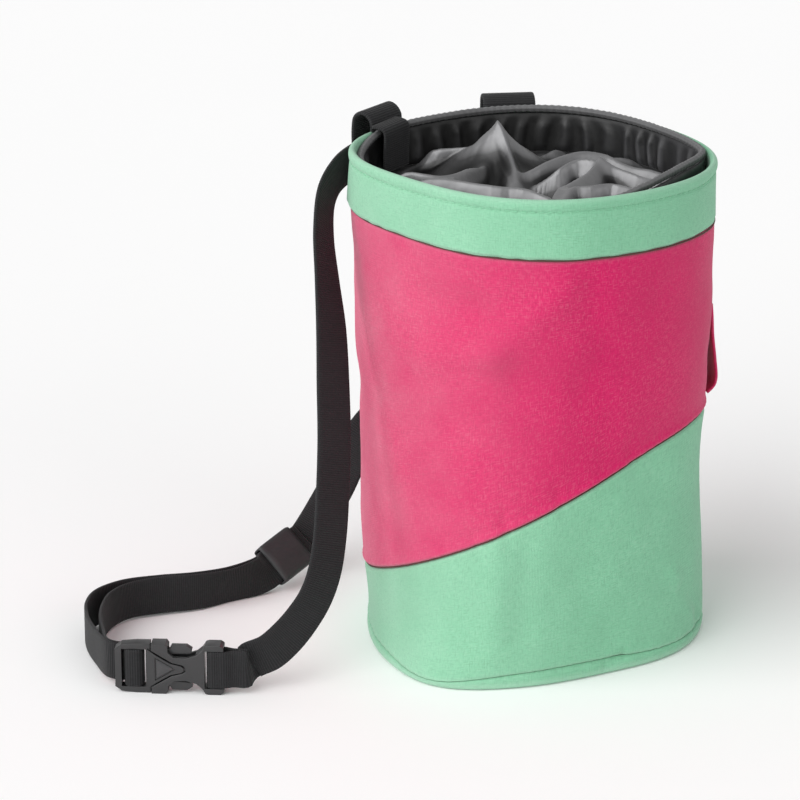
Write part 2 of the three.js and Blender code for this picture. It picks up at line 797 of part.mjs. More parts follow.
// Belt rows as points of the path: where the row lies, and the level direction its face looks to
function rowPoint(row) {
  return new THREE.Vector3(
    -(RIM_RADIUS + row.left * BELT_REACH),
    row.away * RIM_RADIUS,
    Math.max(row.up * HEIGHT, STRAP_WIDTH / 2 + FLOOR_CLEAR),
  );
}

const upright = new THREE.Vector3(0, 0, 1);
const spotAt = (point, wide) => ({ point, wide });
const spotFacing = (point, face) => ({ point, face });

// The sewn end: from its cut end along the back, round the socket's end bar and out at the front
function sewnEnd() {
  const thick = STRAP_THICK;
  const wrap = BAR_THICK / 2 + FIT * 1.5 + thick / 2;
  const barMiddle = ((END_SLOT[1] + 1) / 2) * BUCKLE_LENGTH;
  const slotMiddle = ((END_SLOT[0] + END_SLOT[1]) / 2) * BUCKLE_LENGTH;
  const layer = (thick + LAYER_GAP) / 2;
  const rows = [
    { along: BUCKLE_LENGTH + 9, out: -layer },
    { along: BUCKLE_LENGTH + 3.5, out: -layer - 0.3 },
    { along: BUCKLE_LENGTH, out: -wrap },
    { along: barMiddle, out: -wrap },
    { along: slotMiddle + 0.7, out: -wrap },
    { along: slotMiddle, out: -wrap * 0.5 },
    { along: slotMiddle, out: wrap * 0.5 },
    { along: slotMiddle + 0.7, out: wrap },
    { along: barMiddle, out: wrap },
    { along: BUCKLE_LENGTH, out: wrap },
    { along: BUCKLE_LENGTH + 3.5, out: layer + 0.3 },
    { along: BUCKLE_LENGTH + 9, out: layer },
  ];
  return rows.map(({ along, out }) => spotAt(buckleSpot(along, out), upright));
}

// The adjuster: behind the frame's end, over the rung at the front, then back under and away
function ladderWrap() {
  const thick = STRAP_THICK;
  const behind = FRAME_THICK / 2 + FIT + thick / 2;
  const front = RUNG_THICK / 2 + FIT * 2 + thick / 2;
  const one = ((SLOT_ONE[0] + SLOT_ONE[1]) / 2) * BUCKLE_LENGTH;
  const two = ((SLOT_TWO[0] + SLOT_TWO[1]) / 2) * BUCKLE_LENGTH;
  const under = behind + thick + LAYER_GAP;
  const rows = [
    { along: -3.5, out: -behind - 2.6 },
    { along: 0, out: -behind - 0.6 },
    { along: one - 0.9, out: -behind - 0.2 },
    { along: one + 0.1, out: -behind + 1.1 },
    { along: one + 0.2, out: 0.6 },
    { along: one + 1.1, out: front },
    { along: (one + two) / 2, out: front + 0.15 },
    { along: two - 1.3, out: front - 0.1 },
    { along: two - 0.1, out: 0.6 },
    { along: two, out: -1.4 },
    { along: two - 0.5, out: -under + 1 },
    { along: two - 2.2, out: -under - 0.1 },
    { along: one, out: -under - 0.1 },
    { along: -0.5, out: -under - 0.7 },
    { along: -4, out: -under - 3 },
  ];
  return rows.map(({ along, out }) => spotAt(buckleSpot(along, out), upright));
}

// Level stretch along the wall at the loops' height, lying flat against each loop's inner face
function roundTheRim() {
  const height = HEIGHT - BELT_BELOW_RIM;
  const stand = LOOP_STAND - LOOP_THICK / 2 - LAYER_GAP - STRAP_THICK / 2;
  const [left, back] = LOOPS;
  const inLoop = (loop) =>
    LOOP_SPREAD.map((aside) => {
      const radius = (wallAt(loop.turn, height) + stand) / Math.cos(radians(aside));
      return spotFacing(polar(loop.turn + aside, radius, height), loop.turn + 180);
    });
  const between = [0.37, 0.63].map((share) => {
    const turn = mix(left.turn, back.turn, share);
    return spotFacing(polar(turn, wallAt(turn, height) + stand, height), turn + 180);
  });
  return [...inLoop(left), ...between, ...inLoop(back)];
}

// The webbing rolls once about a slanting axis as it leaves the back loop, and comes out heading
// down to the first row of the back strand, one roll's width further out
function rollOver(start, heading, target) {
  const going = heading.clone().normalize();
  const leaving = target.clone().sub(start).normalize();
  const axis = going.clone().add(leaving).normalize();
  const outward = polar(90, 1, 0);
  const sense = new THREE.Vector3().crossVectors(axis, going).dot(outward) > 0 ? 1 : -1;
  const steps = 7;
  const slant = Math.sqrt(1 - axis.dot(going) ** 2);
  const stride = (Math.PI * ROLL_RADIUS) / slant / steps;
  const spots = [];
  const point = start.clone();
  for (let step = 0; step < steps; step += 1) {
    const middle = (sense * Math.PI * (step + 0.5)) / steps;
    point.addScaledVector(going.clone().applyAxisAngle(axis, middle), stride);
    const turned = (sense * Math.PI * (step + 1)) / steps;
    spots.push(spotAt(point.clone(), upright.clone().applyAxisAngle(axis, turned)));
  }
  return spots;
}

// The width direction of webbing that faces a level direction, turned about its own path by a lean
function leaning(face, along, lean) {
  const wide = new THREE.Vector3().crossVectors(face, along).normalize();
  return wide.applyAxisAngle(along, radians(lean));
}

// Frame of the keeper: its middle on the main layer, and the belt's directions through it
function keeperFrame() {
  const from = BACK_STRAND[KEEPER_ROW];
  const to = BACK_STRAND[KEEPER_ROW + 1];
  const along = rowPoint(to).sub(rowPoint(from)).normalize();
  const face = polar((from.face + to.face) / 2, 1, 0);
  const wide = leaning(face, along, (from.lean + to.lean) / 2);
  const out = new THREE.Vector3().crossVectors(along, wide);
  const middle = rowPoint(from).add(rowPoint(to)).multiplyScalar(0.5);
  return { middle, along, wide, out };
}

// Spots of the back strand, straight through the keeper; gap(row) is the distance inwards
function backSpots(gap) {
  const spots = [];
  BACK_STRAND.forEach((row, i) => {
    const before = BACK_STRAND[Math.max(0, i - 1)];
    const after = BACK_STRAND[Math.min(i + 1, BACK_STRAND.length - 1)];
    const along = rowPoint(after).sub(rowPoint(before)).normalize();
    const wide = leaning(polar(row.face, 1, 0), along, row.lean);
    const outward = new THREE.Vector3().crossVectors(along, wide);
    spots.push(spotAt(rowPoint(row).addScaledVector(outward, -gap(row)), wide));
    if (i === KEEPER_ROW) {
      const keeper = keeperFrame();
      for (const share of [-0.5, 0.5]) {
        const point = keeper.middle
          .clone()
          .addScaledVector(keeper.along, share * KEEPER_LENGTH)
          .addScaledVector(keeper.out, -gap(row));
        spots.push(spotAt(point, keeper.wide));
      }
    }
  });
  return spots;
}

// Tail: back along the inside of the bend, from the buckle to just past the keeper
function tail() {
  const spots = backSpots((row) => STRAP_THICK + LAYER_GAP + row.inset * BELT_REACH);
  return spots.slice(KEEPER_ROW).reverse();
}

// Every spot of the belt's middle line in order, from the sewn end to the tip of the tail
function beltSpots() {
  const rim = roundTheRim();
  const lastRim = rim[rim.length - 1].point;
  const heading = lastRim.clone().sub(rim[rim.length - 2].point);
  const rows = backSpots(() => 0);
  return [
    ...sewnEnd(),
    ...FRONT_STRAND.map((row) => spotFacing(rowPoint(row), row.face)),
    ...rim,
    ...rollOver(lastRim, heading, rows[0].point),
    ...rows,
    ...ladderWrap(),
    ...tail(),
  ];
}

// The belt's width direction at each spot, square to its path
function beltFrames(spots) {
  return spots.map((spot, i) => {
    const before = spots[Math.max(0, i - 1)].point;
    const after = spots[Math.min(spots.length - 1, i + 1)].point;
    const along = after.clone().sub(before).normalize();
    if (spot.wide) {
      return spot.wide;
    }
    return new THREE.Vector3().crossVectors(polar(spot.face, 1, 0), along).normalize();
  });
}

function addBelt() {
  const spots = beltSpots();
  const wides = beltFrames(spots);
  const curve = new THREE.CatmullRomCurve3(
    spots.map((spot) => spot.point),
    false,
    "centripetal",
  );
  const sections = [];
  const last = spots.length - 1;
  for (let i = 0; i < last; i += 1) {
    const span = spots[i].point.distanceTo(spots[i + 1].point);
    const parts = span > 9 ? 2 : 1;
    for (let k = 0; k < parts; k += 1) {
      sections.push(sectionAt(curve, wides, i + k / parts, last));
    }
  }
  sections.push(sectionAt(curve, wides, last, last));
  addPiece("belt_webbing", bar(sections), WEBBING, 0.9);
}

function sectionAt(curve, wides, place, last) {
  const t = place / last;
  const point = curve.getPoint(t);
  const along = curve.getTangent(t);
  const i = Math.min(Math.floor(place), last - 1);
  const wide = wides[i].clone().lerp(wides[i + 1], place - i);
  wide.addScaledVector(along, -wide.dot(along)).normalize();
  const thick = new THREE.Vector3().crossVectors(along, wide);
  return webSection(point, wide, thick, STRAP_WIDTH, STRAP_THICK);
}

// Keeper: a flat sleeve round both layers, along the straight stretch between two rows
function addKeeper() {
  const { middle, along, wide, out } = keeperFrame();
  middle.addScaledVector(out, -(STRAP_THICK + LAYER_GAP) / 2);
  const holeWide = STRAP_WIDTH + KEEPER_ROOM * 2;
  const holeThick = STRAP_THICK * 2 + LAYER_GAP + KEEPER_ROOM * 2;
  const outer = new THREE.BoxGeometry(
    KEEPER_LENGTH,
    holeWide + KEEPER_WALL * 2,
    holeThick + KEEPER_WALL * 2,
  );
  const inner = new THREE.BoxGeometry(KEEPER_LENGTH * 2, holeWide, holeThick);
  const geometry = geometryOf(solid(outer).subtract(solid(inner)));
  const frame = new THREE.Matrix4().makeBasis(along, wide, out);
  frame.setPosition(middle);
  geometry.applyMatrix4(frame);
  addPiece("strap_keeper", geometry, WEBBING, 0.6);
}

addBase();
addPanels();
addRimBand();
addCollar();
addSkirt();
addCollarTab();
addLoops();
addSideLoop();
addPlug();
addSocket();
addBelt();
addKeeper();

export default model;
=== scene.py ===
"""Looks of a climbing chalk bag with its waist belt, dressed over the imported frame.

Lengths in the tables are millimetres, turns are degrees round the bag from +X towards +Y,
and every mesh is written in metres. The bag stands at the origin, its front towards -Y.
"""

import bmesh
import bpy
import numpy as np
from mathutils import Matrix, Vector


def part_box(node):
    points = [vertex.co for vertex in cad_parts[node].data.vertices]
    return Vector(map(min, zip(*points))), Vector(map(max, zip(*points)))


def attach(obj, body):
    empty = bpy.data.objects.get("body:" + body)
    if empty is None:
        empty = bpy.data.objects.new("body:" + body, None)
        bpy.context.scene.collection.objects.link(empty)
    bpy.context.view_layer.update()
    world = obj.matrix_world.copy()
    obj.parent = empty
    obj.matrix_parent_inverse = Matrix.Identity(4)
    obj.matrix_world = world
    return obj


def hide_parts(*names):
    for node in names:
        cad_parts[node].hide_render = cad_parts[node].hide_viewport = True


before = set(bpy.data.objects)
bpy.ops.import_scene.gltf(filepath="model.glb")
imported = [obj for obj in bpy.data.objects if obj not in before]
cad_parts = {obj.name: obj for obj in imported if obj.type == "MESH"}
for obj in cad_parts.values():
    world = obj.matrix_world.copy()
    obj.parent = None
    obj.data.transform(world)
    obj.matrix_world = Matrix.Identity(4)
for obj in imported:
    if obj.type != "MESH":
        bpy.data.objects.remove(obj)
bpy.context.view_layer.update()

MM = 0.001

# Bag body, as the frame has it
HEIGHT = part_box("rim_band")[1][2] / MM
RIM_RADIUS = 67.6
BASE_RADIUS = 67.2
WALL = 2.4
FIT = 0.3
COLUMNS = 600

# Waves of the outline: wave number, cosine and sine at the rim, cosine and sine at the base
OUTLINE = [
    (1, 0, 0, -0.02, 0),
    (2, 0.002, -0.03, -0.005, 0.037),
    (3, -0.017, 0.008, 0.04, 0.005),
    (4, 0.023, -0.017, -0.006, -0.014),
]

# Large soft dents: turn, height share, half width in degrees, half height share, depth share
DENTS = [
    (-119, 0, 16, 0.12, -0.062),
    (-37, 0, 24, 0.1, -0.024),
    (180, 0.06, 35, 0.07, 0.018),
    (180, 0.52, 70, 0.05, 0.016),
    (0, 0.34, 60, 0.17, 0.036),
    (-75, 0.2, 9, 0.16, 0.012),
    (-45, 0.24, 8, 0.18, 0.014),
    (-60, 0.07, 10, 0.06, 0.016),
    (-95, 0.48, 22, 0.06, 0.01),
    (-125, 0.62, 16, 0.2, 0.008),
    (-55, 0.62, 18, 0.14, 0.009),
    (60, 0.4, 20, 0.2, 0.012),
    (115, 0.3, 18, 0.2, 0.012),
]

# Fine creases and ridges of the cloth: turn and height of both ends, half width, and depth,
# which is below zero on a ridge
CREASES = [
    (-131, 127, -105, 133, 7, -1.8),
    (-105, 133, -81, 158, 7, -1.8),
    (-132, 149, -112, 147, 8, 1.7),
    (-110, 150, -102, 140, 8, 1.0),
    (-96, 122, -78, 116, 9, 1.5),
    (-76, 158, -70, 132, 7, 1.1),
    (-72, 120, -66, 92, 8, 0.9),
    (-102, 54, -103, 16, 6, -1.0),
    (-94, 60, -95, 22, 5, 0.8),
    (-101, 70, -99, 58, 2.4, 0.7),
    (-110, 61, -108, 53, 2.4, 0.6),
    (-84, 79, -82, 69, 2.6, 0.5),
    (-57, 92, -53, 80, 3, 0.5),
    (-90, 42, -84, 34, 5, 0.5),
    (-57, 52, -51, 40, 6, 0.5),
    (-33, 34, -20, 13, 4, -1.1),
    (-28, 26, -14, 8, 3.5, 1.1),
    (-64, 4, -56, 6.5, 2.2, 1.1),
    (-128, 22, -118, 12, 5, 0.4),
    (40, 80, 60, 112, 7, 0.7),
    (70, 60, 96, 78, 8, -0.6),
    (130, 110, 160, 96, 8, 0.7),
    (150, 60, 172, 44, 7, -0.6),
    (20, 140, 44, 128, 7, 0.6),
    (100, 150, 130, 140, 7, -0.5),
    (-150, 120, -165, 92, 7, 0.5),
    (-10, 118, 6, 96, 6, 0.5),
]


def mix(low, high, share):
    return low + (high - low) * share


def bell(x):
    return np.exp(-np.square(x))


def rise(x):
    """Smooth step from 0 to 1 as x goes from 0 to 1."""
    x = np.clip(x, 0, 1)
    return x * x * (3 - 2 * x)


def turn_between(a, b):
    return (np.asarray(a) - b + 180) % 360 - 180


def polar(turn, radius, height):
    """Points at a turn and a radius round the bag's axis, at a height."""
    turn, radius, height = np.broadcast_arrays(np.radians(turn), radius, height)
    return np.stack([radius * np.cos(turn), radius * np.sin(turn), height], axis=-1)


def mottle(across, up, seed, around=64):
    """Smooth noise from -1 to 1: random values one cell apart, blended by smooth steps.

    The pattern repeats after the given number of cells across, so that it closes round the bag.
    """
    lattice = np.random.default_rng(seed).uniform(-1, 1, (64, around))
    across, up = np.broadcast_arrays(across, up)
    column = np.floor(across).astype(int)
    row = np.floor(up).astype(int)
    right = rise(across - column)
    above = rise(up - row)
    low = mix(lattice[row % 64, column % around], lattice[row % 64, (column + 1) % around], right)
    row = row + 1
    high = mix(lattice[row % 64, column % around], lattice[row % 64, (column + 1) % around], right)
    return mix(low, high, above)


def wall(turn, height):
    """Outer radius of the cloth wall, as the frame has it.

    The mean radius runs from the base's to the rim's, is multiplied by the sum of the outline's
    waves, and loses each soft dent, which falls away as a bell in turn and in height.
    """
    turn, height = np.broadcast_arrays(np.asarray(turn, float), height)
    up = height / HEIGHT
    waves = 0
    for number, rim_cos, rim_sin, base_cos, base_sin in OUTLINE:
        angle = np.radians(number * turn)
        waves = waves + mix(base_cos, rim_cos, up) * np.cos(angle)
        waves = waves + mix(base_sin, rim_sin, up) * np.sin(angle)
    radius = mix(BASE_RADIUS, RIM_RADIUS, up) * (1 + waves)
    for at, high, wide, tall, deep in DENTS:
        fall = bell(turn_between(turn, at) / wide) * bell((up - high) / tall)
        radius = radius - deep * RIM_RADIUS * fall
    return radius


def creased(turn, height):
    """How far the fine creases and the cloth's unevenness move the wall outwards.

    Each crease is a bell of the distance to its own stretch on the unrolled wall.
    """
    moved = 0.4 * mottle(turn / 360 * 22, height / 19, 5, 22)
    moved = moved + 0.13 * mottle(turn / 360 * 60, height / 7, 6, 60)
    for turn_a, height_a, turn_b, height_b, wide, deep in CREASES:
        x = np.radians(turn_between(turn, turn_a)) * RIM_RADIUS
        y = height - height_a
        dx = np.radians(turn_b - turn_a) * RIM_RADIUS
        dy = height_b - height_a
        share = np.clip((x * dx + y * dy) / (dx * dx + dy * dy), 0, 1)
        moved = moved - deep * bell(np.hypot(x - share * dx, y - share * dy) / wide)
    return moved


def placed(name, data):
    """Object that holds the data, linked to the scene."""
    piece = bpy.data.objects.new(name, data)
    bpy.context.scene.collection.objects.link(piece)
    return piece


def write_mesh(name, vertices, faces, corners):
    """Smooth-shaded object from vertices in millimetres, groups of faces, and their UV corners.

    The faces are turned round if the closed skin's volume comes out below zero.
    """
    vertices = np.asarray(vertices, float)
    volume = 0
    for group in faces:
        for k in range(1, group.shape[-1] - 1):
            a, b, c = (vertices[group[..., i]] for i in (0, k, k + 1))
            volume += np.sum(a * np.cross(b, c))
    if volume < 0:
        faces = [group[:, ::-1] for group in faces]
        corners = [corner[:, ::-1] for corner in corners]
    mesh = bpy.data.meshes.new(name)
    mesh.from_pydata((vertices * MM).tolist(), [], [face for group in faces for face in group.tolist()])
    layer = mesh.uv_layers.new(name="cloth")
    layer.uv.foreach_set("vector", np.concatenate([c.reshape(-1) for c in corners]).astype(np.float32))
    mesh.shade_smooth()
    return placed(name, mesh)


def quads(grid):
    """The four corners of each cell of a grid, in order round the cell."""
    ring = [grid[:-1, :-1], grid[:-1, 1:], grid[1:, 1:], grid[1:, :-1]]
    return np.stack(ring, axis=2).reshape(-1, 4, *grid.shape[2:])


def running(points, axis):
    """Mean running length along one direction of a grid of points, from 0 at its first line."""
    steps = np.linalg.norm(np.diff(points, axis=axis), axis=2).mean(axis=1 - axis)
    return np.concatenate([[0], np.cumsum(steps)])


def surface(name, points, rows_close=False, wear_and_shading=None):
    """Object from a grid of points, rows by columns, whose columns close into rings.

    Neighbours make quads. The rows close too, or else each end ring is capped by one face. The
    UV map holds real lengths: around the ring, and along the rows. Each point has one number for
    rubbed edges and for painted light and shade.
    """
    rows, columns = points.shape[:2]
    number = np.arange(rows * columns).reshape(rows, columns)
    number = np.pad(number, ((0, int(rows_close)), (0, 1)), mode="wrap")
    full = points[number // columns, number % columns]
    around = running(full, 1) * MM
    along = running(full, 0) * MM
    uv = np.stack(np.meshgrid(around, along), axis=-1)
    faces = [quads(number)]
    corners = [quads(uv)]
    if not rows_close:
        faces += [number[:1, :-1][:, ::-1], number[-1:, :-1]]
        corners += [uv[:1, :-1][:, ::-1], uv[-1:, :-1]]
    piece = write_mesh(name, points.reshape(-1, 3), faces, corners)
    marked = piece.data.attributes.new("wear_and_shading", "FLOAT", "POINT")
    if wear_and_shading is not None:
        marked.data.foreach_set("value", np.broadcast_to(wear_and_shading, (rows, columns)).ravel().astype(np.float32))
    return piece


def dress(piece, material, slot, *nodes):
    """Give a piece its material and its place on the body. The slot is not used."""
    piece.data.materials.append(material)
    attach(piece, "root")
    if nodes:
        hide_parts(*nodes)
    return piece


# Length of one wave of the wave texture at scale 1, then the sizes of a slub and of a thread
WAVE_LENGTH = np.pi / 10
FLECK = 0.0005
CLOTH_THREAD = 0.00062


class Finish:
    """One material's nodes, with its shader's fixed values set on the shader itself."""

    def __init__(self, name, **fixed):
        self.material = bpy.data.materials.new(name)
        self.material.use_nodes = True
        self.tree = self.material.node_tree
        self.shader = self.tree.nodes["Principled BSDF"]
        for socket, value in fixed.items():
            self.shader.inputs[socket.replace("_", " ")].default_value = value
        self.cloth = self.add("ShaderNodeUVMap", uv_map="cloth").outputs["UV"]
        self.place = self.add("ShaderNodeTexCoord").outputs["Object"]
        self.bumps = None

    def add(self, kind, inputs=None, **settings):
        node = self.tree.nodes.new(kind)
        for key, value in settings.items():
            setattr(node, key, value)
        for key, value in (inputs or {}).items():
            self.put(value, node.inputs[key])
        return node

    def put(self, value, socket):
        if isinstance(value, bpy.types.NodeSocket):
            self.tree.links.new(value, socket)
        else:
            socket.default_value = value

    def scaled(self, vector, scale):
        return self.add("ShaderNodeMapping", {"Vector": vector, "Scale": scale}).outputs["Vector"]

    def threads(self, pitch, direction, vector=None, wobble=0.0):
        """Rows of threads one pitch apart, as a wave from 0 to 1."""
        wave = self.add(
            "ShaderNodeTexWave",
            {
                "Vector": vector or self.cloth,
                "Scale": WAVE_LENGTH / pitch,
                "Distortion": wobble,
                "Detail": 1.0,
                "Detail Scale": 0.3,
            },
            wave_type="BANDS",
            bands_direction=direction,
            wave_profile="SIN",
        )
        return wave.outputs["Fac"]

    def noise(self, size, detail=2.0, vector=None, rough=0.5):
        """Soft noise whose blotches are about the given size in metres."""
        inputs = {"Vector": vector or self.place, "Scale": 1 / size, "Detail": detail}
        node = self.add("ShaderNodeTexNoise", inputs)
        node.inputs["Roughness"].default_value = rough
        return node.outputs["Fac"]

    def math(self, operation, a, b):
        node = self.add("ShaderNodeMath", operation=operation)
        self.put(a, node.inputs[0])
        self.put(b, node.inputs[1])
        return node.outputs[0]

    def span(self, value, low, high, to_low=0.0, to_high=1.0):
        inputs = {"Value": value, "From Min": low, "From Max": high, "To Min": to_low, "To Max": to_high}
        return self.add("ShaderNodeMapRange", inputs).outputs["Result"]

    def tint(self, share, first, second):
        node = self.add("ShaderNodeMix", data_type="RGBA")
        self.put(share, node.inputs[0])
        self.put(first, node.inputs[6])
        self.put(second, node.inputs[7])
        return node.outputs[2]

    def bump(self, height, depth, strength=1.0):
        inputs = {"Height": height, "Distance": depth, "Strength": strength}
        if self.bumps is not None:
            inputs["Normal"] = self.bumps
        self.bumps = self.add("ShaderNodeBump", inputs).outputs["Normal"]

    def attribute(self, name):
        return self.add("ShaderNodeAttribute", attribute_name=name).outputs["Fac"]

    def done(self, colour, roughness=None):
        self.put(colour, self.shader.inputs["Base Color"])
        if roughness is not None:
            self.put(roughness, self.shader.inputs["Roughness"])
        if self.bumps is not None:
            self.put(self.bumps, self.shader.inputs["Normal"])
        return self.material


def shaded(colour, factor):
    return tuple(min(1.0, c * factor) for c in colour) + (1.0,)


def melange_cloth(name, colour, side_light):
    """Plain weave of mixed yarns: crossed threads, short pale and dark slubs, soft blotches.

    A painted highlight whitens the cloth on its left side, where the belt's knot hangs, in soft patches.
    """
    finish = Finish(name, Sheen_Weight=0.2, Sheen_Roughness=0.5, Specular_IOR_Level=0.15)
    upright = finish.noise(FLECK, 1.0, finish.scaled(finish.cloth, (1.0, 0.2, 1.0)))
    level = finish.noise(FLECK, 1.0, finish.scaled(finish.cloth, (0.2, 1.0, 1.0)))
    pale = finish.math("MAXIMUM", finish.span(upright, 0.54, 0.74), finish.span(level, 0.54, 0.74))
    dark = finish.math("MAXIMUM", finish.span(upright, 0.46, 0.28), finish.span(level, 0.46, 0.28))
    yarn = finish.tint(pale, shaded(colour, 1.0), shaded(tuple(mix(c, 1.0, 0.055) for c in colour), 1.0))
    yarn = finish.tint(finish.math("MULTIPLY", dark, 0.6), yarn, shaded(colour, 0.72))
    blotch = finish.span(finish.noise(0.03, 3.0), 0.35, 0.65, 0.0, 0.5)
    base = finish.tint(blotch, yarn, shaded(colour, 0.86))
    # Painted light: the left side, which faces the key light, is painted paler in soft patches.
    side = finish.add("ShaderNodeSeparateXYZ", {"Vector": finish.place}).outputs["X"]
    drift = finish.span(finish.noise(0.02, 4.0), 0.3, 0.7, 0.5, 1.0)
    dust_and_side_light = finish.math("MULTIPLY", finish.span(side, 0.02, -0.06, 0.0, side_light), drift)
    side_lit = finish.tint(dust_and_side_light, base, shaded(tuple(mix(c, 0.95, 0.7) for c in colour), 1.0))
    rubbed = shaded(tuple(mix(c, 0.75, 0.3) for c in colour), 1.0)
    marked = finish.tint(finish.attribute("wear_and_shading"), side_lit, rubbed)
    weft = finish.threads(CLOTH_THREAD, "X", wobble=0.6)
    warp = finish.threads(CLOTH_THREAD, "Y", wobble=0.6)
    weave = finish.math("ADD", finish.math("MULTIPLY", weft, 0.5), finish.math("MULTIPLY", warp, 0.5))
    finish.bump(weave, 0.00010, 0.7)
    finish.bump(pale, 0.00006, 0.8)
    roughness = finish.span(pale, 0.0, 1.0, 0.82, 0.93)
    return finish.done(marked, roughness)


def ribbed_webbing(name, colour, pitch=0.00085):
    """Woven strap: ribs across it one pitch apart with a painted highlight on each rib's top, finer
    threads along it, pale chalk patches, frayed edges, and painted highlights from the point attribute.
    """
    finish = Finish(name, Sheen_Weight=0.08, Sheen_Roughness=0.4, Specular_IOR_Level=0.3)
    ribs = finish.threads(pitch, "Y", wobble=0.25)
    threads = finish.threads(0.0006, "X", wobble=0.5)
    fibres = finish.noise(0.0007, 2.0, finish.scaled(finish.cloth, (1.0, 0.3, 1.0)))
    # The tone mixes the fibres' own mottle with a painted highlight along each rib's top.
    tone = finish.math("ADD", finish.math("MULTIPLY", ribs, 0.5), finish.math("MULTIPLY", fibres, 0.6))
    yarn = finish.tint(finish.span(tone, 0.25, 0.85), shaded(colour, 0.75), shaded(colour, 1.25))
    patches = finish.span(finish.noise(0.018, 3.0), 0.45, 0.75, 0.0, 0.25)
    dust_and_side_light = finish.tint(patches, yarn, shaded(colour, 1.7))
    # Paler where the point attribute is high: frayed strap edges, and a painted highlight on the piping's
    # top.
    marked = finish.tint(finish.attribute("wear_and_shading"), dust_and_side_light, shaded(colour, 2.4))
    finish.bump(ribs, 0.00016, 0.9)
    finish.bump(threads, 0.00005, 0.6)
    finish.bump(fibres, 0.00008, 0.5)
    roughness = finish.span(tone, 0.2, 0.9, 0.85, 0.68)
    return finish.done(marked, roughness)


def satin_nylon(name, colour, gloss, metal):
    """Tight filament nylon: soft gloss, small crinkles, painted highlights on the fold lips and painted shade
    in the hollows.
    """
    finish = Finish(name, Sheen_Weight=0.1, Sheen_Roughness=0.3, Specular_IOR_Level=0.55, Metallic=metal)
    crinkle = finish.noise(0.004, 4.0, rough=0.6)
    threads = finish.noise(0.0005, 2.0)
    patches = finish.span(finish.noise(0.011, 3.0), 0.35, 0.65)
    tone = finish.tint(patches, shaded(colour, 0.75), shaded(colour, 1.3))
    wear_and_shading = finish.attribute("wear_and_shading")
    # Painted highlight where the point attribute is high, painted shade where it is low.
    marked = finish.tint(finish.span(wear_and_shading, 0.2, 1.0), tone, shaded(colour, 5.0))
    marked = finish.tint(finish.span(wear_and_shading, 0.15, -0.75), marked, shaded(colour, 0.06))
    finish.bump(crinkle, 0.0003, 0.35)
    finish.bump(threads, 0.000012, 0.4)
    roughness = finish.span(crinkle, 0.35, 0.65, gloss - 0.07, gloss + 0.08)
    return finish.done(marked, roughness)


def moulded_plastic(name, colour, gloss):
    """Moulded plastic: even dark colour, fine spark-eroded grain, a few faint scuffs."""
    finish = Finish(name, Specular_IOR_Level=0.7)
    grain = finish.noise(0.00035, 2.0)
    scuffs = finish.noise(0.004, 5.0, finish.scaled(finish.place, (1.0, 1.0, 4.0)), 0.7)
    tone = finish.tint(finish.span(scuffs, 0.55, 0.8, 0.0, 0.35), shaded(colour, 1.0), shaded(colour, 1.7))
    finish.bump(grain, 0.00003, 0.5)
    roughness = finish.span(scuffs, 0.4, 0.75, gloss, gloss + 0.16)
    return finish.done(tone, roughness)


mint_cloth = melange_cloth("mint_cloth", (0.21, 0.5, 0.315), 0.12)
pink_cloth = melange_cloth("pink_cloth", (0.58, 0.009, 0.108), 0.13)
black_webbing = ribbed_webbing("black_webbing", (0.014, 0.014, 0.015))
grey_binding = ribbed_webbing("grey_binding", (0.095, 0.095, 0.097), 0.0016)
dark_nylon = satin_nylon("dark_nylon", (0.018, 0.018, 0.019), 0.5, 0.0)
grey_nylon = satin_nylon("grey_nylon", (0.042, 0.042, 0.043), 0.36, 0.4)
buckle_plastic = moulded_plastic("buckle_plastic", (0.018, 0.018, 0.019), 0.28)
glossy_plastic = moulded_plastic("glossy_plastic", (0.035, 0.035, 0.037), 0.1)
keeper_rubber = moulded_plastic("keeper_rubber", (0.022, 0.022, 0.024), 0.6)
# Dark brown cord that paints the shadow lines along two seams.
seam_shadow_cord = ribbed_webbing("seam_shadow_cord", (0.09, 0.04, 0.034), 0.0012)

# Seams: the rolled one at the base, whose height wanders, and the slanting one
BASE_SEAM = 5.0
SEAM_ROLL = 0.55
BASE_ROLL = 0.35
CORD = 0.3
SEAM_TUCK = 1.1
PUCKERS = 97
SLANT_MIDDLE = 59.5
SLANT_RISE = 33.6
SLANT_TURN = -15
turns = np.arange(COLUMNS) * 360 / COLUMNS


def base_seam(turn):
    return BASE_SEAM + 1.7 * bell(turn_between(turn, -76) / 26) - 2.4 * bell(turn_between(turn, -122) / 15)


def seam_shows(turn):
    """How far the base seam shows, from nearly pressed flat to full, wandering round the bag."""
    return 0.55 + 0.45 * mottle(turn / 360 * 18, 0.5, 16, 18)


def slant(turn):
    return SLANT_MIDDLE + SLANT_RISE * np.cos(np.radians(turn - SLANT_TURN))


def packed(count, ends=0.6):
    """Shares from 0 to 1 that crowd towards both ends by the given amount."""
    share = np.linspace(0, 1, count)
    return mix(share, 0.5 - 0.5 * np.cos(np.pi * share), ends)


def puckered(turn, gap, seed):
    """Small gathers that a seam pulls into the cloth, dying out a few millimetres from it."""
    pull = np.sin(np.radians(turn) * PUCKERS + 2.4 * mottle(turn / 360 * 40, 0.5, seed, 40))
    pull = pull * (0.6 + 0.4 * mottle(turn / 360 * 30, 1.5, seed + 1, 30))
    return 0.16 * pull * np.exp(-gap / 2.6)


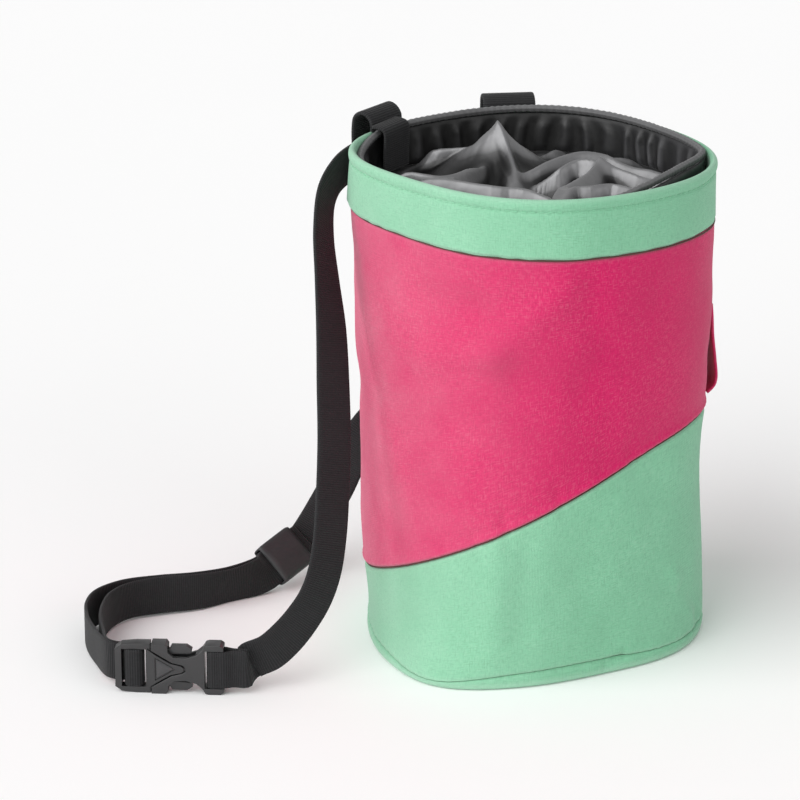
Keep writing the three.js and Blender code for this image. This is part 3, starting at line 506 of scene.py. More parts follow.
def cloth_ring(name, low, high, count, relief):
    """Closed ring of wall cloth: up its outer face, over its top edge and down its inner face.

    Relief gives how far the outer face stands off the wall, from the turn and the distances to
    the foot and to the top edge.
    """
    height = mix(low(turns), high(turns), packed(count)[:, None])
    from_low = height - low(turns)
    to_high = high(turns) - height
    outer = wall(turns, height) + creased(turns, height) + relief(turns, from_low, to_high)
    inner_height = mix(low(turns), high(turns), np.linspace(1, 0, 12)[:, None])
    inner = wall(turns, inner_height) - WALL
    points = polar(turns, np.concatenate([outer, inner]), np.concatenate([height, inner_height]))
    edge = np.maximum(bell(from_low / 1.1), bell(to_high / 1.1)) * 0.35
    wear_and_shading = np.concatenate([edge, inner * 0])
    return surface(name, points, True, wear_and_shading)


def make_panels():
    def lower_relief(turn, from_low, to_high):
        edge = -SEAM_TUCK * bell(to_high / 0.9) - 0.7 * seam_shows(turn) * bell(from_low / 0.8)
        return edge + puckered(turn, to_high, 11) + puckered(turn, from_low, 12)

    def middle_relief(turn, from_low, to_high):
        roll = SEAM_ROLL * bell((from_low - 1.6) / 1.5) - SEAM_TUCK * bell(from_low / 0.55)
        edge = -0.7 * bell(to_high / 0.8)
        return roll + edge + puckered(turn, from_low, 13) + 0.6 * puckered(turn, to_high, 14)

    def lower_foot(turn):
        return base_seam(turn) + FIT / 2

    lower = cloth_ring("lower_cloth", lower_foot, lambda t: slant(t) - FIT, 92, lower_relief)
    dress(lower, mint_cloth, "mint_cloth", "lower_panel")
    middle = cloth_ring("middle_cloth", slant, lambda t: band_foot(t) - FIT, 104, middle_relief)
    dress(middle, pink_cloth, "pink_cloth", "middle_panel")


def make_base():
    """Base cloth: flat underside, round corner, rolled seam, then down the inside to its floor."""
    foot = wall(turns, 0.0)
    top = base_seam(turns) - FIT / 2
    rows = []
    for share in (0.12, 0.35, 0.6, 0.8, 0.92, 0.97, 1.0):
        rows.append((share * (foot - 2.4), 0 * foot))
    for around in np.linspace(10, 80, 6):
        corner = np.radians(around)
        rows.append((foot - 2.4 + 2.4 * np.sin(corner), 0 * foot + 1.6 * (1 - np.cos(corner))))
    for share in np.linspace(0.12, 1, 14):
        height = mix(1.5, top, share)
        side = wall(turns, height) + creased(turns, height)
        roll = seam_shows(turns) * (BASE_ROLL * bell((share - 0.62) / 0.3) - 0.8 * bell((1 - share) / 0.1))
        rows.append((side + roll + puckered(turns, top - height, 12), height))
    for height in (top, mix(WALL, top, 0.5), 0 * top + WALL + 0.4):
        rows.append((wall(turns, height) - WALL, height))
    for share in (0.99, 0.8, 0.4, 0.12):
        rows.append((share * (foot - WALL - 1.2), 0 * foot + WALL))
    radius = np.stack([row[0] for row in rows])
    height = np.stack([row[1] for row in rows])
    piece = surface("base_cloth", polar(turns, radius, height), wear_and_shading=0.5 * bell((height - 1.2) / 1.6))
    dress(piece, mint_cloth, "mint_cloth", "base_panel")


# Band round the rim
BAND_HEIGHT = 22.6
BAND_LEAN = 1
LIP_PROUD = 0.8
LIP_LEAN = 0.5
RIM_STITCH = 4.6
RIM_STITCHES = 132
STITCH_LONG = 2.3
STITCH_THICK = 0.55


def band_foot(turn):
    return HEIGHT - BAND_HEIGHT - BAND_LEAN * np.cos(np.radians(turn))


def lip(turn):
    return LIP_PROUD - LIP_LEAN * np.cos(np.radians(turn))


def band_face(turn, height):
    """Outer radius of the rim band: a proud lip at its foot, a stitched groove, a rolled top."""
    above = height - band_foot(turn)
    below = HEIGHT - height
    proud = lip(turn) * (1 - above / (BAND_HEIGHT - 1)) - 0.9 * bell(above / 0.7)
    wander = 3 * mottle(turn / 360 * 24, 0.3, 21, 24)
    ripple = 0.22 * np.sin(np.radians(turn) * 31 + wander) * np.exp(-above / 4)
    groove = 0.5 * bell((below - RIM_STITCH) / 0.6)
    roll = 0.4 * bell((below - 2.2) / 1.5)
    shoulder = np.clip(1.3 - below, 0, 1.3)
    rounding = 1.3 - np.sqrt(np.maximum(1.3 * 1.3 - shoulder * shoulder, 0))
    soft = creased(turn, height) * rise(below / 6)
    return wall(turn, height) + proud + ripple + roll - groove - rounding + soft


def make_seam_cords():
    """Painted shadow lines: a dark cord in the slanting seam's groove, and another tucked under the band's
    lip.
    """
    around = np.radians(np.arange(8) * 45)[:, None]
    cords = [("slant_cord", slant(turns) - FIT / 2, -0.5), ("rim_cord", band_foot(turns) - 0.3, 0.05)]
    for name, height, out in cords:
        radius = wall(turns, height) + creased(turns, height) + out + CORD * np.cos(around)
        piece = surface(name, polar(turns, radius, height + CORD * np.sin(around)), True)
        dress(piece, seam_shadow_cord, "black_webbing")


def make_rim():
    height = mix(band_foot(turns), HEIGHT, packed(58, 0.8)[:, None])
    outer = band_face(turns, height)
    inner_height = np.concatenate([np.array([[0.25], [0.9]]), np.linspace(2.5, BAND_HEIGHT, 8)[:, None]])
    inner_height = np.maximum(HEIGHT - inner_height, band_foot(turns))
    inner = wall(turns, inner_height) - WALL
    inner[0] = inner[0] + 0.7
    points = polar(turns, np.concatenate([outer, inner]), np.concatenate([height, inner_height]))
    above = height - band_foot(turns)
    wear_and_shading = np.maximum(0.3 * bell(above / 1.2), 0.35 * bell((HEIGHT - height) / 1.4))
    piece = surface("rim_cloth", points, True, np.concatenate([wear_and_shading, inner * 0]))
    dress(piece, mint_cloth, "mint_cloth", "rim_band")


def grains(name, centres, along, out, length, thick):
    """Row of stitches: each a long round grain at its centre, flattened towards its cloth."""
    along = along / np.linalg.norm(along, axis=1, keepdims=True)
    side = np.cross(out, along)
    side = side / np.linalg.norm(side, axis=1, keepdims=True)
    out = np.cross(along, side)
    rings = np.radians([168, 130, 90, 50, 12])
    reach = np.cos(rings)
    girth = np.sin(rings) ** 0.6
    ring = np.radians(np.arange(7) * 360 / 7)
    x = np.repeat(reach * length / 2, 7)
    y = np.outer(girth, np.cos(ring)).ravel() * thick / 2
    z = np.outer(girth, np.sin(ring)).ravel() * thick / 2
    points = centres[:, None] + x[:, None] * along[:, None] + y[:, None] * side[:, None]
    points = points + z[:, None] * out[:, None]
    number = np.arange(35).reshape(5, 7)
    number = np.pad(number, ((0, 0), (0, 1)), mode="wrap")
    sides = quads(number)
    caps = np.stack([number[0, :-1][::-1], number[-1, :-1]])
    start = (np.arange(len(centres)) * 35)[:, None, None]
    faces = [(sides[None] + start).reshape(-1, 4), (caps[None] + start).reshape(-1, 7)]
    corners = [np.zeros((len(group), group.shape[1], 2)) for group in faces]
    return write_mesh(name, points.reshape(-1, 3), faces, corners)


def make_rim_stitches():
    turn = np.arange(RIM_STITCHES) * 360 / RIM_STITCHES
    height = HEIGHT - RIM_STITCH + 0.12 * mottle(turn / 360 * 33, 0.5, 31, 33)
    centre = polar(turn, band_face(turn, height) + 0.12, height)
    ahead = polar(turn + 1, band_face(turn + 1, height), height + 0.02)
    behind = polar(turn - 1, band_face(turn - 1, height), height)
    piece = grains("rim_stitches", centre, ahead - behind, polar(turn, 1, 0.0), STITCH_LONG, STITCH_THICK)
    dress(piece, mint_cloth, "mint_cloth")


# Twisting collar inside the rim
COLLAR_DEPTH = 18
COLLAR_WALL = 1.2
PIPING = 2.8
PIPING_LIFT = 1
PIPING_SUNK = 3.6
FLAT_FROM = -56
FLAT_TO = -2
COLLAR_CORNER = 2.4
CHORD_PAST = 20
COLLAR_GATHERS = 46
GATHER_DEEP = 2.4
PIPING_RIBS = 150
collar_foot = HEIGHT - COLLAR_DEPTH


def collar(turn, height):
    """Outer radius of the collar: it hugs the rim band, but runs straight across at front right."""
    turn, height = np.broadcast_arrays(np.asarray(turn, float), height)
    hug = wall(turn, height) - WALL - FIT
    half = (FLAT_TO - FLAT_FROM) / 2
    aside = turn_between(turn, (FLAT_FROM + FLAT_TO) / 2)
    corner = (wall(FLAT_FROM, height) + wall(FLAT_TO, height)) / 2 - WALL - FIT
    reach = half + CHORD_PAST
    chord = corner * np.cos(np.radians(half)) / np.cos(np.radians(np.clip(aside, -reach, reach)))
    blend = COLLAR_CORNER * np.exp(-np.square((hug - chord) / COLLAR_CORNER))
    return np.where(np.abs(aside) > reach, hug, np.minimum(hug, chord) - blend * 0.5)


def piping_height(turn):
    """Height of the piping's middle: lifted at the back, and sunk behind the rim along the front."""
    sunk = PIPING_SUNK * rise((80 - np.abs(turn_between(turn, -132))) / 26)
    return HEIGHT - 0.6 + PIPING_LIFT * 1.5 * bell(turn_between(turn, 100) / 55) - sunk


def make_collar():
    """Collar cloth: plain outside, and upright gathers of uneven width inside.

    A gather is a sharpened wave whose phase wanders; its depth grows from the piping downwards
    and shrinks again at the seam with the closure.
    """
    turn = np.arange(900) * 360 / 900
    top = piping_height(turn) - PIPING / 2 - FIT
    outer_height = mix(collar_foot, top, np.linspace(0, 1, 6)[:, None])
    share = np.linspace(1, 0, 26)[:, None]
    height = mix(collar_foot, top, share)
    wander = 2.2 * mottle(turn / 360 * 21, share * 0.9, 41, 21)
    wander = wander + 0.9 * mottle(turn / 360 * 45, share * 1.6, 42, 45)
    phase = np.radians(turn) * COLLAR_GATHERS + wander
    crest = (0.5 + 0.5 * np.cos(phase)) ** 1.6
    strength = 0.6 + 0.4 * mottle(turn / 360 * 30, share, 43, 30)
    depth = GATHER_DEEP * crest * strength * rise((1 - share) / 0.35) * rise(share / 0.25)
    groove = 0.35 * bell((1 - share) * COLLAR_DEPTH / 0.9)
    inner = collar(turn, height) - COLLAR_WALL - depth + groove
    radius = np.concatenate([collar(turn, outer_height), inner])
    points = polar(turn, radius, np.concatenate([outer_height, height]))
    # Painted light: the inside is painted lighter towards the right and darker at the back, each gather's top
    # lighter and the hollow between gathers darker.
    painted_side_light = 0.5 * bell(turn_between(turn, 20) / 42) - 0.6 * bell(turn_between(turn, 105) / 50)
    folds = 1.1 * crest * strength * (1 - share) - 0.5 * (1 - crest) * rise((1 - share) / 0.3)
    wear_and_shading = np.concatenate([outer_height * 0 + 0 * turn, np.clip(painted_side_light + folds, -1, 1)])
    piece = surface("collar_cloth", points, True, wear_and_shading)
    dress(piece, dark_nylon, "dark_nylon", "collar_wall")


def make_piping():
    """Round piping on the collar's top edge, with the shallow ribs of its binding and a painted highlight
    along its upper half.
    """
    around = np.radians(np.arange(14) * 360 / 14)[:, None]
    rib = 0.12 * np.sin(np.radians(turns) * PIPING_RIBS)
    half = PIPING / 2 + rib + 0.08 * mottle(turns / 360 * 90, 0.5, 51, 90)
    radius = collar(turns, HEIGHT) - PIPING / 2 + half * np.cos(around)
    height = piping_height(turns) + half * np.sin(around)
    # The upper half of the tube is painted lighter through the point attribute: a painted highlight.
    piece = surface("piping_roll", polar(turns, radius, height), True, 0.3 * rise(np.sin(around)) + 0 * turns)
    dress(piece, grey_binding, "piping", "collar_piping")


# Crumpled closure: crests of its folds as x, y and height, with the widths of their two flanks,
# left and right of the way in which the crest runs
SKIRT_WALL = 1.4
SKIRT_DATUM = 170.5
THROAT = (-2.0, -10.0)
THROAT_RADIUS = 7.5
CREST_ROUND = 0.3
SKIRT_REACH = 0.8
THROAT_FROM = 0.66
THROAT_DEEP = 17
HEM_SPREAD = 5
FOLDS = [
    ("back spike", 8, 12, (0, 0), [
        (-36, 37, 176), (-28, 34, 182), (-21.2, 32, 187), (-17.3, 33, 190.5), (-13.7, 31.8, 193.5),
        (-10.5, 31, 191), (-7.6, 31, 188), (-2.4, 34.5, 183), (3, 43, 177),
    ]),
    ("spike front", 4, 3.5, (0, 0), [
        (-13.7, 31.8, 192), (-10.5, 25, 188), (-8, 15, 183), (-7, 4, 178),
    ]),
    ("upper left", 14, 4, (0.5, -2.5), [
        (-44, 39, 176), (-37.5, 36, 183.5), (-31, 35, 184), (-25.8, 33.4, 183.8), (-18.9, 30, 183.2),
        (-14, 22.9, 182), (-10.1, 10.1, 180), (-8, -1.8, 177),
    ]),
    ("lower left", 9, 4, (0, -2.5), [
        (-60, -5, 178), (-49.4, -5.9, 185.6), (-43, -8, 185.6), (-36.4, -8.7, 185),
        (-29.5, -4.7, 184.8), (-24.4, 4.5, 184), (-19.5, 15, 181.5),
    ]),
    ("front", 7, 6, (0, -2), [
        (-56, -24, 179), (-43.5, -23.6, 187), (-35.8, -24.7, 188), (-26.9, -27.2, 188),
        (-17.3, -32.8, 188), (-7.7, -34.3, 187.5), (-0.9, -40, 187), (4.6, -43.8, 185), (9, -52, 177),
    ]),
    ("big right", 6, 5, (0.5, -2), [
        (-8.2, 7.9, 178), (-1.3, 10.3, 182), (7, 16.3, 184.8), (15.3, 22.3, 186), (22.7, 25.8, 185.5),
        (28.7, 26.1, 184), (33.7, 23.6, 181.5), (38.6, 21.6, 180), (48.6, 17.2, 179), (57, 15, 174),
    ]),
    ("second right", 5, 4.5, (0, -1), [
        (0.7, 3.9, 178), (5.7, 4.2, 181), (9.6, 4.5, 184), (15.9, 8.1, 186), (20.8, 6.9, 187),
        (25.5, 3, 186.5), (31.4, 0.8, 185), (39.1, -5, 184), (45.6, -12.5, 184), (55, -19, 176),
    ]),
    ("middle right", 7, 3.6, (-2, -0.5), [
        (23.5, 3, 186.8), (18.8, -10.2, 186.3), (12.5, -21.3, 185.7), (7.2, -30.8, 185),
        (4.6, -38, 183),
    ]),
    ("small right", 5, 5, (0, -1), [
        (9.6, -40.2, 183), (14, -30.9, 186), (19.9, -31.1, 187), (27.8, -29.1, 187), (34.3, -34.6, 187),
        (38, -39, 185), (45, -47, 176),
    ]),
    ("back right", 6, 5, (0, 0), [
        (48, 40, 174), (38, 37, 179), (28, 36, 180), (18, 37, 177),
    ]),
    ("back middle", 5, 5, (0, 0), [
        (16, 60, 175), (10, 50, 180), (5, 43, 179),
    ]),
    ("back left", 5, 5, (0, 0), [
        (-30, 56, 175), (-23, 47, 181), (-18, 39, 183),
    ]),
]


def crest_fall(x, y, left, right, crest):
    """Share of one fold's height left over a point, and the height itself over the datum.

    Over the nearest point of the smoothed crest the fold has the crest's own height there. The
    share falls as the exponential of the distance over the flank's width, which turns from one
    side's width to the other's, and is rounded at the crest.
    """
    line = curve_through(crest, np.linspace(0, len(crest) - 1, 3 * len(crest) - 2))
    best = np.zeros_like(x)
    share_there = np.zeros_like(x)
    for (ax, ay, az), (bx, by, bz) in zip(line, line[1:]):
        dx, dy = bx - ax, by - ay
        long = np.hypot(dx, dy)
        share = np.clip(((x - ax) * dx + (y - ay) * dy) / long ** 2, 0, 1)
        off_x, off_y = x - ax - share * dx, y - ay - share * dy
        gap = np.hypot(off_x, off_y)
        side = (dx * off_y - dy * off_x) / (long * np.maximum(gap, 1e-6))
        wide = mix(right, left, 0.5 + 0.5 * side)
        fall = np.exp(CREST_ROUND - np.sqrt(np.square(gap / wide) + CREST_ROUND ** 2))
        height = (mix(az, bz, share) - SKIRT_DATUM) * fall
        share_there = np.where(height > best, fall, share_there)
        best = np.maximum(best, height)
    return share_there, best


def crumpled(x, y):
    """Height of the crumpled closure over its datum, and how far its folds lean sideways.

    The height is the folds' fifth-power union plus the cloth's soft slack. Each fold leans by
    its own lean where it is the highest, most at its crest.
    """
    total = 0
    lean_x = 0
    lean_y = 0
    for _, left, right, (over_x, over_y), crest in FOLDS:
        base = [(cx - over_x, cy - over_y, cz) for cx, cy, cz in crest]
        share, height = crest_fall(x, y, left, right, base)
        total = total + height ** 5
        lean_x = lean_x + over_x * share ** 1.5 * height ** 5
        lean_y = lean_y + over_y * share ** 1.5 * height ** 5
    slack = 0.7 * mottle(x / 13, y / 11, 61) + 0.15 * mottle(x / 6, y / 5, 62)
    return total ** 0.2 + slack, lean_x / (total + 1e-9), lean_y / (total + 1e-9)


def blurred(grid, times):
    """Grid whose every value is averaged with its neighbours, again and again."""
    for _ in range(times):
        for axis in (0, 1):
            grid = (np.roll(grid, 1, axis=axis) + 2 * grid + np.roll(grid, -1, axis=axis)) / 4
    return grid


def make_closure():
    """Closure skirt: a cloth ring from the collar's foot, over its folds, down into its throat."""
    turn = np.arange(480) * 360 / 480
    share = packed(118, 0.35)[:, None]
    across = share / SKIRT_REACH
    foot = collar(turn, collar_foot) - COLLAR_WALL - FIT
    lobes = 1 + 0.28 * np.cos(np.radians(2 * turn - 40)) + 0.16 * np.sin(np.radians(3 * turn + 30))
    neck = THROAT_RADIUS * lobes
    inward = np.clip(across, 0, 1)
    opened = rise((share - SKIRT_REACH) / (1 - SKIRT_REACH))
    radius = mix(foot, neck, inward) + HEM_SPREAD * opened
    x = radius * np.cos(np.radians(turn)) + THROAT[0] * rise(inward)
    y = radius * np.sin(np.radians(turn)) + THROAT[1] * rise(inward)
    throat = np.clip((share - THROAT_FROM) / (1 - THROAT_FROM), 0, 1)
    gathers = 0.8 * np.cos(np.radians(turn) * 38 + 2 * mottle(turn / 360 * 19, 0.5, 65, 19))
    shoulder = rise(share / 0.1)
    height = mix(collar_foot + SKIRT_WALL, SKIRT_DATUM, shoulder) - THROAT_DEEP * throat ** 1.6
    swell, lean_x, lean_y = crumpled(x, y)
    shown = shoulder * (1 - rise(throat / 0.8))
    height = height + swell * shown + gathers * rise(share / 0.04) * np.exp(-share * 22)
    x = x + lean_x * shown
    y = y + lean_y * shown
    top = np.stack([x, y, height], axis=-1)
    under = top[::-3] - np.array([0, 0, SKIRT_WALL])
    level = blurred(top[..., 2], 6)
    # Painted light: cloth above its blurred height gets a painted highlight, cloth below it painted shade.
    crest_light_and_hollow_shade = np.tanh((level - blurred(level, 90)) / 0.9) * shoulder
    wear_and_shading = np.concatenate([crest_light_and_hollow_shade, 0 * under[..., 2]])
    piece = surface("closure_cloth", np.concatenate([top, under]), True, wear_and_shading)
    dress(piece, grey_nylon, "grey_nylon", "closure_skirt")


# Webbing
STRAP_WIDTH = 15
STRAP_THICK = 1.4
LAYER_GAP = 0.5
FLOOR_CLEAR = 0.4
BELT_REACH = 107
LOOP_WIDTH = 21
LOOP_THICK = 1.4
LOOP_STAND = 7.5
LOOP_HANG = 31
BELT_BELOW_RIM = 12
ROLL_RADIUS = 4.5
TAB_WIDTH = 18.4
TAB_HANG = 15
TAB_STAND = 2.1
TAB_TURN = 149.5
STEP = 0.9
LEFT_TURN, LEFT_RISE = 146.5, 7
BACK_TURN, BACK_RISE = 97, 4.8
UP = np.array([0.0, 0.0, 1.0])


def unit(vector):
    return vector / np.linalg.norm(vector, axis=-1, keepdims=True)


def curve_through(points, places, even=False):
    """Catmull-Rom curve through points, read at places counted in points.

    It is the centripetal curve, or with even spacing the plain one, which suits directions.
    """
    points = np.asarray(points, float)
    more = np.vstack([2 * points[0] - points[1], points, 2 * points[-1] - points[-2]])
    span = np.clip(np.floor(places).astype(int), 0, len(points) - 2)
    share = (places - span)[:, None]
    a, b, c, d = (more[span + k] for k in range(4))
    steps = (b - a, c - b, d - c)
    first, middle, last = (np.sqrt(np.linalg.norm(step, axis=1, keepdims=True)) for step in steps)
    if even:
        first = middle = last = 1
    first = np.where(first < 1e-4, middle, first)
    last = np.where(last < 1e-4, middle, last)
    out = ((b - a) / first - (c - a) / (first + middle) + (c - b) / middle) * middle
    back = ((c - b) / middle - (d - b) / (middle + last) + (d - c) / last) * middle
    cubic = 2 * b - 2 * c + out + back
    square = 3 * c - 3 * b - 2 * out - back
    return b + share * (out + share * (square + share * cubic))


def web_outline(width, thick, flat=9, edge=5):
    """Outline of webbing across its path: two flat faces joined by half-round edges."""
    half = width / 2 - thick / 2
    around = np.radians(np.linspace(-90, 90, edge))
    x = np.linspace(-half, half, flat)
    right = np.stack([half + thick / 2 * np.cos(around), thick / 2 * np.sin(around)], axis=1)
    bottom = np.stack([x, 0 * x - thick / 2], axis=1)
    return np.concatenate([bottom[:-1], right[:-1], -bottom[:-1], -right[:-1]])


def swept(name, path, wides, width, thick, wear_and_shading=0.35):
    """Strap carried along a path: points of its middle line, with its width direction at each.

    Both run on a Catmull-Rom curve read about one step apart, and the outline is set square to
    the path. The two edges are the most worn.
    """
    path = np.asarray(path, float)
    spans = np.linalg.norm(np.diff(path, axis=0), axis=1)
    counts = [max(1, round(span / STEP)) for span in spans]
    places = [i + np.arange(count) / count for i, count in enumerate(counts)]
    places = np.concatenate(places + [[len(path) - 1.0]])
    middle = curve_through(path, places)
    ahead = unit(np.gradient(middle, axis=0))
    wide = curve_through(wides, places, True)
    wide = unit(wide - np.sum(wide * ahead, axis=1, keepdims=True) * ahead)
    out = np.cross(ahead, wide)
    outline = web_outline(width, thick)
    x, z = outline[:, 0], outline[:, 1]
    points = middle[:, None] + x[None, :, None] * wide[:, None] + z[None, :, None] * out[:, None]
    fray = rise((np.abs(2 * x / width) - 0.86) / 0.14) * wear_and_shading
    frayed = fray * (0.6 + 0.4 * mottle(places[:, None] * 1.7, x[None] / 3, 71))
    return surface(name, points, wear_and_shading=frayed)


def upright_strip(name, turn, rows, width, thick, wear_and_shading=0.35):
    """Strap bent in the upright plane at a turn, its width level, from radius and height rows."""
    level = np.cross(UP, polar(turn, 1, 0.0))
    path = [polar(turn, radius, height) for radius, height in rows]
    return swept(name, path, [level] * len(path), width, thick, wear_and_shading)


def make_loop(name, node, turn, rise_by):
    """Belt loop: sewn to the rim's top, arched over the belt, and down to the wall below it."""
    rows = [
        (-WALL / 2, FIT),
        (-WALL / 2, rise_by * 0.45),
        (LOOP_STAND * 0.1, rise_by * 0.85),
        (LOOP_STAND * 0.5, rise_by),
        (LOOP_STAND * 0.88, rise_by * 0.75),
        (LOOP_STAND, rise_by * 0.2),
        (LOOP_STAND, -LOOP_HANG * 0.35),
        (LOOP_STAND, -BELT_BELOW_RIM - STRAP_WIDTH / 2 - LAYER_GAP),
        (LOOP_STAND * 0.6, -LOOP_HANG * 0.78),
        (lip(turn) + FIT + LOOP_THICK / 2, -LOOP_HANG * 0.9),
        (FIT + LOOP_THICK / 2, -LOOP_HANG),
        (FIT + LOOP_THICK / 2, -LOOP_HANG * 1.12),
    ]
    path = [(wall(turn, min(HEIGHT + up, HEIGHT)) + off, HEIGHT + up) for off, up in rows]
    dress(upright_strip(name, turn, path, LOOP_WIDTH, LOOP_THICK), black_webbing, "black_webbing", node)
    foot = -LOOP_HANG * 1.06
    across = np.linspace(-LOOP_WIDTH / 2 + 2, LOOP_WIDTH / 2 - 2, 9)
    level = np.cross(UP, polar(turn, 1, 0.0))
    spots = []
    for up in (foot, foot + 1.6):
        base = polar(turn, wall(turn, HEIGHT + up) + FIT + LOOP_THICK, HEIGHT + up)
        spots.append(base + across[:, None] * level)
    centres = np.concatenate(spots)
    along = np.tile(level, (len(centres), 1))
    out = np.tile(polar(turn, 1, 0.0), (len(centres), 1))
    dress(grains(name + "_tack", centres, along, out, 1.7, 0.5), black_webbing, "black_webbing")


def make_tab():
    """Collar tab: folded over the piping and down inside the collar."""
    turn = TAB_TURN
    piping_middle = collar(turn, HEIGHT) - PIPING / 2
    inside = collar(turn, HEIGHT) - PIPING - FIT - TAB_STAND - STRAP_THICK / 2
    over = piping_height(turn) + PIPING / 2 + FIT * 2 + STRAP_THICK / 2
    rows = [
        (piping_middle + PIPING * 0.35, over),
        (piping_middle - PIPING * 0.3, over),
        (mix(inside, piping_middle, 0.25), over - PIPING * 0.2),
        (inside, over - PIPING * 0.6),
        (inside, HEIGHT - TAB_HANG * 0.55),
        (inside, HEIGHT - TAB_HANG),
    ]
    strip = upright_strip("collar_tab_strap", turn, rows, TAB_WIDTH, STRAP_THICK)
    dress(strip, black_webbing, "black_webbing", "collar_tab")


SIDE_LOOP_TURN = 9
SIDE_LOOP_WIDTH = 20
SIDE_LOOP_THICK = 1.1
SIDE_LOOP_TOP = 131
SIDE_LOOP_TALL = 36
SIDE_LOOP_STAND = 3.2


def make_side_loop():
    """Side loop: a strip of cloth that bulges from the wall, most near its foot."""
    rows = [(0, 0), (0.12, 0.12), (0.35, 0.3), (0.6, 0.68), (0.84, 1), (0.92, 0.8), (1, 0)]
    path = []
    for down, off in rows:
        height = SIDE_LOOP_TOP - down * SIDE_LOOP_TALL
        base = wall(SIDE_LOOP_TURN, height) + FIT + SIDE_LOOP_THICK / 2
        path.append((base + off * SIDE_LOOP_STAND, height))
    strip = upright_strip("side_loop_cloth", SIDE_LOOP_TURN, path, SIDE_LOOP_WIDTH, SIDE_LOOP_THICK, 0.15)
    dress(strip, pink_cloth, "pink_cloth", "side_loop")


# Buckle, standing on its edge, and the belt through it
BUCKLE_LENGTH = 41.3
BUCKLE_TALL = 20
BUCKLE_THICK = 6.4
FACE_RECESS = 0.7
FRAME_THICK = 4.6
BAR_THICK = 3
RUNG_THICK = 1.8
BUCKLE_TURN = -3.5
SLOT_ONE = (0.06, 0.13)
SLOT_TWO = (0.208, 0.285)
END_SLOT = (0.825, 0.89)
buckle_along = polar(BUCKLE_TURN, 1, 0.0)
buckle_out = np.cross(buckle_along, UP)
buckle_left = np.array([-(RIM_RADIUS + 0.855 * BELT_REACH), -1.03 * RIM_RADIUS, 0])


def buckle_spots(rows):
    """Points level with the buckle's middle: along its length and out of its front face."""
    along = np.array([row[0] for row in rows])[:, None]
    out = np.array([row[1] for row in rows])[:, None]
    points = buckle_left + along * buckle_along + out * buckle_out + UP * BUCKLE_TALL / 2
    return [(point, UP) for point in points]


# Front strand, from the buckle up to the left loop: distance beyond the bag's left side as a
# share of the belt's reach, away as a share of the rim's radius, height share, facing angle
FRONT_STRAND = [
    (0.38, -1.03, 0.06, -92),
    (0.31, -1.02, 0.078, -88),
    (0.252, -0.99, 0.104, -80),
    (0.196, -0.96, 0.14, -70),
    (0.148, -0.93, 0.182, -63),
    (0.116, -0.88, 0.23, -60),
    (0.097, -0.81, 0.295, -58),
    (0.088, -0.72, 0.375, -58),
    (0.083, -0.6, 0.47, -58),
    (0.087, -0.48, 0.565, -56),
    (0.094, -0.35, 0.67, -49),
    (0.109, -0.23, 0.76, -38),
    (0.122, -0.1, 0.84, -33),
    (0.115, 0.04, 0.9, -33),
    (0.082, 0.19, 0.93, -32),
]

# Back strand, from behind the bag through the keeper and round the left bend to the buckle, with
# the same columns, then the lean of its upper edge in degrees and the extra room between layers
BACK_STRAND = [
    (-0.46, 1.17, 0.58, 92, 0, 0),
    (-0.2, 1.09, 0.4, 86, 0, 0),
    (0.0, 0.97, 0.282, 74, 4, 0),
    (0.1, 0.87, 0.175, 64, -4, 0),
    (0.215, 0.755, 0.076, 56, -24, 0),
    (0.372, 0.46, 0.0412, 56, -24, 0),
    (0.49, 0.31, 0.0412, 62, -8, 0.002),
    (0.61, 0.2, 0.0412, 72, 2, 0.006),
    (0.75, 0.14, 0.0412, 84, 8, 0.014),
    (0.88, 0.07, 0.0412, 108, 4, 0.03),
    (0.965, -0.07, 0.0412, 145, 2, 0.045),
    (0.995, -0.24, 0.0412, 175, 0, 0.045),
    (0.983, -0.46, 0.0412, 194, 0, 0.03),
    (0.94, -0.7, 0.0443, 218, 0, 0.01),
]
KEEPER_ROW = 4
KEEPER_LENGTH = 14
SLEEVE_LENGTH = 18.5
KEEPER_WALL = 1
KEEPER_ROOM = 0.5


def belt_point(row):
    height = max(row[2] * HEIGHT, STRAP_WIDTH / 2 + FLOOR_CLEAR)
    return np.array([-(RIM_RADIUS + row[0] * BELT_REACH), row[1] * RIM_RADIUS, height])


def rotated(vector, axis, degrees):
    """Vector turned about a unit axis by Rodrigues' formula."""
    angle = np.radians(degrees)
    across = np.cross(axis, vector)
    return vector * np.cos(angle) + across * np.sin(angle) + axis * np.dot(axis, vector) * (1 - np.cos(angle))


def sewn_end():
    """Cut end behind the socket, round its end bar, and out at the front."""
    wrap = BAR_THICK / 2 + FIT * 1.5 + STRAP_THICK / 2
    bar_middle = (END_SLOT[1] + 1) / 2 * BUCKLE_LENGTH
    slot_middle = (END_SLOT[0] + END_SLOT[1]) / 2 * BUCKLE_LENGTH
    layer = (STRAP_THICK + LAYER_GAP) / 2
    return buckle_spots([
        (BUCKLE_LENGTH + 9, -layer),
        (BUCKLE_LENGTH + 3.5, -layer - 0.3),
        (BUCKLE_LENGTH, -wrap),
        (bar_middle, -wrap),
        (slot_middle + 0.7, -wrap),
        (slot_middle, -wrap * 0.5),
        (slot_middle, wrap * 0.5),
        (slot_middle + 0.7, wrap),
        (bar_middle, wrap),
        (BUCKLE_LENGTH, wrap),
        (BUCKLE_LENGTH + 3.5, layer + 0.3),
        (BUCKLE_LENGTH + 9, layer),
    ])


